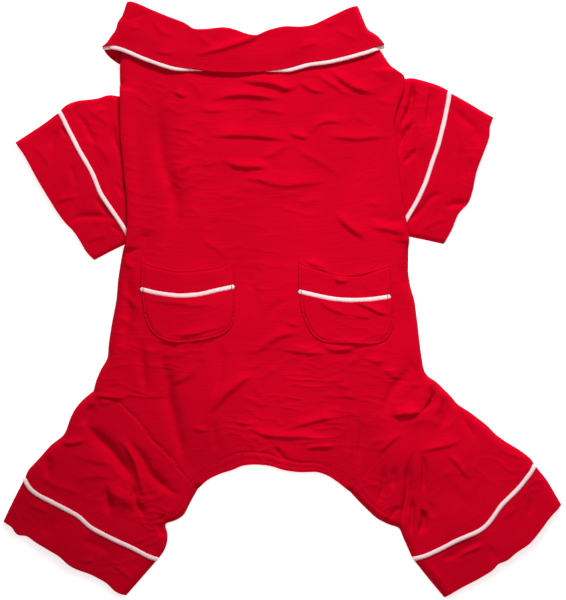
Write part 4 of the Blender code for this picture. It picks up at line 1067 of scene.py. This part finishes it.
FOLD = [(126.5, 1.4), (135, 2.5), (151, 10), (170, 18), (185, 23.5), (194, 30.5), (208, 30), (224, 28),
        (234, 30), (247, 35), (257, 37), (264, 32.6), (275, 29), (286, 27), (300, 28), (313, 26),
        (323, 21), (333, 16), (346, 9.5), (358, 5.5)]
FALL = [(101.7, 46), (111, 45.6), (119.5, 47), (132, 52), (142.6, 57), (157, 62.5), (174, 68),
        (193, 70.5), (210, 73), (235, 74), (262, 73.2), (288, 70), (307.5, 64), (327, 61.7), (347, 57),
        (367, 51), (385, 44)]
FALL_UNDER = [(101.7, 46), (106, 54), (113, 60), (121, 65), (158, 75), (243, 79), (328, 70), (371, 56),
              (385, 44)]
COLLAR_LEFT = [(126.5, 1.4), (121.6, 17), (116.7, 21), (116.3, 29), (109.6, 36.5), (108, 41),
               (101.7, 46)]
COLLAR_RIGHT = [(358, 5.5), (363, 18), (368, 30), (373, 32), (379, 36), (385, 44)]

COLLAR_CREASES = [
    ([(191, 60), (207, 56), (225, 51), (240, 46), (255, 41), (262, 36), (277, 31)], 3.0, 2.2, 1.5),
    ([(124, 22), (135, 20), (147, 12)], 2.2, 1.8, -0.6),
    ([(128, 30), (140, 32)], 2.2, 1.8, 0.6),
    ([(152, 53), (177, 57)], 2.6, 1.8, 0.5),
    ([(298, 52), (320, 46)], 2.8, 2.0, 0.6),
    ([(322, 28), (337, 25)], 2.2, 1.6, 0.5),
    ([(196, 37), (204, 46), (216, 50)], 2.4, 2.0, 0.6),
    ([(150, 22), (160, 34), (176, 40)], 3.0, 2.4, 0.5),
    ([(334, 30), (346, 40), (360, 42)], 3.0, 2.2, 0.5),
]

fold_line, fall_line, fall_under = smooth_line(FOLD), smooth_line(FALL), smooth_line(FALL_UNDER)
collar_left, collar_right = smooth_line(COLLAR_LEFT), smooth_line(COLLAR_RIGHT)
COLLAR_DEPTH = (length_of(collar_left) + length_of(collar_right)) / 2


def collar_height(points):
    """The outer height of the collar's upper side."""
    away = edge_distance(points, [collar_left, collar_right])
    full = crown(points) * (EDGE_SHARE + (1 - EDGE_SHARE) * smooth_step(away / CROWN_REACH)) + COLLAR_ABOVE
    (wide, wide_size), (small, small_size) = COLLAR_SWELLS
    swell = ripple(points, wide_size, 31) * wide + ripple(points, small_size, 32) * small
    relief = (creased(points, COLLAR_CREASES) + swell) * smooth_step(away / COLLAR_ROLL)
    fallen = FALL_DROOP * (1 - smooth_step(nearest(points, fall_line)[0] / FALL_DROOP_REACH))
    return OVER_COLLAR + (full - fallen - OVER_COLLAR) * roundness(away, COLLAR_ROLL) + relief


def collar_surface(u, v):
    """The collar: up its fall, over the fold and down inside the neck."""
    curl = math.pi * FOLD_ROLL
    total = COLLAR_DEPTH - FOLD_ROLL + curl + INSIDE
    way = v * total
    outer = COLLAR_DEPTH - FOLD_ROLL
    turn = np.clip((way - outer) / curl, 0, 1) * math.pi
    inside = np.clip(way - outer - curl, 0, None)
    up = (np.minimum(way, outer) + FOLD_ROLL * np.sin(turn) - inside) / COLLAR_DEPTH
    on_top = u <= UPPER_SHARE
    share = np.where(on_top, u / UPPER_SHARE, (1 - u) / (1 - UPPER_SHARE))
    drop = FOLD_ROLL * (1 - np.cos(turn))
    width = np.linalg.norm(along(collar_left, 1 - up) - along(collar_right, 1 - up), axis=1)
    shares = rolled(share, width, COLLAR_ROLL)
    shares = 0.5 + (shares - 0.5) * (1 - 2 * drop / width)
    above = patch(fold_line, fall_line, collar_left, collar_right, shares, 1 - up)
    beneath = patch(fold_line, fall_under, collar_left, collar_right, shares, 1 - up)
    places = np.where(on_top[:, None], above, beneath)
    edge = np.minimum(shares, 1 - shares) * width
    bottom = COLLAR_UNDER + (OVER_COLLAR - COLLAR_UNDER) * (1 - roundness(edge, UNDER_ROLL)) + drop
    return np.column_stack([places, np.where(on_top, collar_height(places) - drop, bottom)])


collar = sewn("neck_collar", unit_sheet(COLLAR_COLUMNS, COLLAR_ROWS), collar_surface,
              (2 * length_of(fall_line), COLLAR_DEPTH + INSIDE), jersey, CLOTH, "collar", closed=True)

# The collar's piping: the same cord, sewn along the edge of the fall.
# Near the middle it slips a little under the fall, so that less of it shows there.

# Where the fall hides it in the picture, over how many pixels that starts, and by how much
HIDDEN, HIDDEN_RAMP = (172, 296), 42
HIDDEN_TUCK, HIDDEN_DROP = 0.0031, 0.0011
PIPING_DROP, PIPING_OUT = 0.0007, 0.0011
LOW_END_POINTS = 7.0

picture_x = GARMENT_LEFT + (fall_line[:, 0] - cad_box[0][0]) / PIXEL
tuck = (smooth_step((picture_x - HIDDEN[0]) / HIDDEN_RAMP)
        * smooth_step((HIDDEN[1] - picture_x) / HIDDEN_RAMP)) * HIDDEN_TUCK
fall_shown = fall_line + np.column_stack([np.zeros_like(tuck), tuck - PIPING_OUT])
from_left = np.arange(len(tuck))
low_ends = smooth_step(np.minimum(from_left, from_left[::-1]) / LOW_END_POINTS)
level = collar_height(fall_shown) - PIPING_DROP - tuck / HIDDEN_TUCK * HIDDEN_DROP
level = OVER_COLLAR + (level - OVER_COLLAR) * low_ends
path = softened(np.column_stack([fall_shown, level]), 3, False)
sewn_cord("collar_cord", path, beside(path), "collar_piping", False)

# The patch pockets: a pouch of jersey with a separate band above it, topstitched to the back.
# Piping is sewn between the pouch and the band. Their edges are pressed under.

POCKET_LIFT, POCKET_ROLL = 0.00105, 0.0012
GROOVE_INSET, GROOVE_WIDTH, GROOVE_DEPTH = 0.0017, 0.0006, 0.0005
POCKET_COLUMNS = 110
POUCH_ROWS, BAND_ROWS = 74, 40

BAND_TOP_LEFT = [(141.5, 259), (147, 263), (155, 265.5), (166, 268), (177, 270.5), (192, 269.5),
                 (208, 268), (221, 266), (229, 261.5), (233, 257)]
POCKET_SEAM_LEFT = [(140.5, 289), (155, 292.5), (170, 295), (183.5, 296), (200, 294.5), (216, 290.5),
                    (235, 286.5)]
BAND_SIDES_LEFT = [(141.5, 259), (141, 274), (140.5, 289)], [(233, 257), (234.5, 272), (235, 286.5)]
POUCH_FOOT_LEFT = [(144.5, 316), (148, 326), (154, 334.5), (162, 340), (174, 343), (190, 342.5),
                   (206, 340), (220, 336.5), (229, 331.5), (233.5, 325), (235.5, 315)]
POUCH_SIDES_LEFT = [(140.5, 289), (142.5, 302), (144.5, 316)], [(235, 286.5), (235.5, 300), (235.5, 315)]
BAND_TOP_RIGHT = [(298.5, 260), (303, 263.5), (320.6, 268.5), (339, 274), (352, 274.5), (363, 273),
                  (376, 268.5), (389.5, 264)]
POCKET_SEAM_RIGHT = [(298, 291.5), (312, 294.5), (330, 298.5), (351, 300.5), (370, 299.5), (390.5, 296.5)]
BAND_SIDES_RIGHT = [(298.5, 260), (298, 275), (298, 291.5)], [(389.5, 264), (390.5, 280), (390.5, 296.5)]
POUCH_FOOT_RIGHT = [(302.5, 316), (307, 327), (312.5, 336), (321, 342), (335, 344), (352, 344),
                    (368, 344.5), (382, 343), (390, 335.5), (393.5, 326), (394, 316)]
POUCH_SIDES_RIGHT = [(298, 291.5), (299.5, 303), (302.5, 316)], [(390.5, 296.5), (393, 305), (394, 316)]
POCKETS = {"left": (BAND_TOP_LEFT, POCKET_SEAM_LEFT, BAND_SIDES_LEFT, POUCH_FOOT_LEFT, POUCH_SIDES_LEFT),
           "right": (BAND_TOP_RIGHT, POCKET_SEAM_RIGHT, BAND_SIDES_RIGHT, POUCH_FOOT_RIGHT,
                     POUCH_SIDES_RIGHT)}


def pocket_surface(near, far, left, right, grooved):
    """A flat patch on the back; its edges roll down to it, and the grooved ones are topstitched."""
    def surface(u, v):
        places = patch(near, far, left, right, u, v)
        lift = POCKET_LIFT * roundness(edge_distance(places, (near, far, left, right)), POCKET_ROLL)
        for line in grooved:
            inset = nearest(places, line)[0] - GROOVE_INSET
            lift = lift - GROOVE_DEPTH * np.exp(-(inset / GROOVE_WIDTH) ** 2)
        return np.column_stack([places, trouser_height(places) + lift])
    return surface


pocket_edges, pocket_seams = {}, {}
for side, (top, seam, band_sides, foot, pouch_sides) in POCKETS.items():
    top, seam, foot = smooth_line(top), smooth_line(seam), smooth_line(foot)
    band_left, band_right = (smooth_line(edge) for edge in band_sides)
    pouch_left, pouch_right = (smooth_line(edge) for edge in pouch_sides)
    pocket_seams[side] = seam
    edges = np.concatenate([pouch_left, foot[1:], pouch_right[::-1][1:]])
    pocket_edges[side] = away_from(edges, seam.mean(0), -GROOVE_INSET)
    band_end, pouch_end = (away_from(seam, other.mean(0), CUFF_GAP / 2) for other in (foot, top))
    surface = pocket_surface(top, band_end, band_left, band_right, [top, band_left, band_right])
    size = (length_of(seam), length_of(band_left))
    band = sewn(f"{side}_pocket_band", unit_sheet(POCKET_COLUMNS, BAND_ROWS), surface, size, jersey,
                CLOTH / 2, f"pocket_band_{side}")
    surface = pocket_surface(pouch_end, foot, pouch_left, pouch_right, [foot, pouch_left, pouch_right])
    size = (length_of(seam), nearest(seam, foot)[0].max())
    pouch = sewn(f"{side}_pocket", unit_sheet(POCKET_COLUMNS, POUCH_ROWS), surface, size, jersey,
                 CLOTH / 2, f"pocket_{side}")
    path = np.column_stack([seam, trouser_height(seam) + POCKET_LIFT + CORD_SEAT - CORD_RADIUS / 2])
    path = softened(path, 4, False)
    sewn_cord(f"{side}_pocket_cord", path, beside(path), f"pocket_piping_{side}", False)

# The stitches: short runs of dark red thread where the rear hem and the pockets are topstitched.
# The rear hem has two rows, and a bar tack holds each end of the pockets' piping.

THREAD = "#a00016"
THREAD_RADIUS = 0.00024
STITCH_LENGTH, STITCH_PITCH = 0.0021, 0.0029
HEM_ROWS_INSET = (0.0034, 0.0075)
BAR_TACKS = (0.035, 0.965)
TACK_REACH, TACK_LIFT = 0.0018, POCKET_LIFT + CORD_RADIUS / 2
TACK_PITCH, TACK_LENGTH = 0.0006, 0.0008

# Spun polyester thread: a little smoother and darker than the knit, so that the rows show
thread, tree, shader, grain = cloth_material("polyester_thread_red", 0.6, 0.1)
shader.inputs["Base Color"].default_value = linear(THREAD)
bm = bmesh.new()


def stitched(line, height, pitch=STITCH_PITCH, stitch=STITCH_LENGTH):
    """A run of stitches along a line of the picture, lying on a surface of that height."""
    spots = np.arange(pitch / 2, length_of(line), pitch) / length_of(line)
    middles = along(line, spots)
    heads = along(line, spots + stitch / 2 / length_of(line))
    levels = height(middles)
    for spot, head, level in zip(middles, heads, levels):
        made = bmesh.ops.create_icosphere(bm, subdivisions=1, radius=1.0)["verts"]
        bmesh.ops.scale(bm, vec=(stitch / 2, THREAD_RADIUS, THREAD_RADIUS), verts=made)
        angle = math.atan2(head[1] - spot[1], head[0] - spot[0])
        turn = Matrix.Rotation(angle, 3, "Z")
        bmesh.ops.rotate(bm, cent=(0, 0, 0), matrix=turn, verts=made)
        bmesh.ops.translate(bm, vec=(*spot, level), verts=made)


for inset in HEM_ROWS_INSET:
    stitched(away_from(rear_hem, MIDDLE, -inset), trouser_height)
for side in ("left", "right"):
    stitched(pocket_edges[side], lambda p: trouser_height(p) + POCKET_LIFT - GROOVE_DEPTH)
    for share in BAR_TACKS:
        spot = along(pocket_seams[side], np.array([share]))[0]
        tack = np.array([spot + [0.0, TACK_REACH], spot - [0.0, TACK_REACH]])
        stitched(tack, lambda p: trouser_height(p) + TACK_LIFT, TACK_PITCH, TACK_LENGTH)
stitches = finished("stitches", bm, thread)
stitches.data.shade_smooth()
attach(stitches, "root")
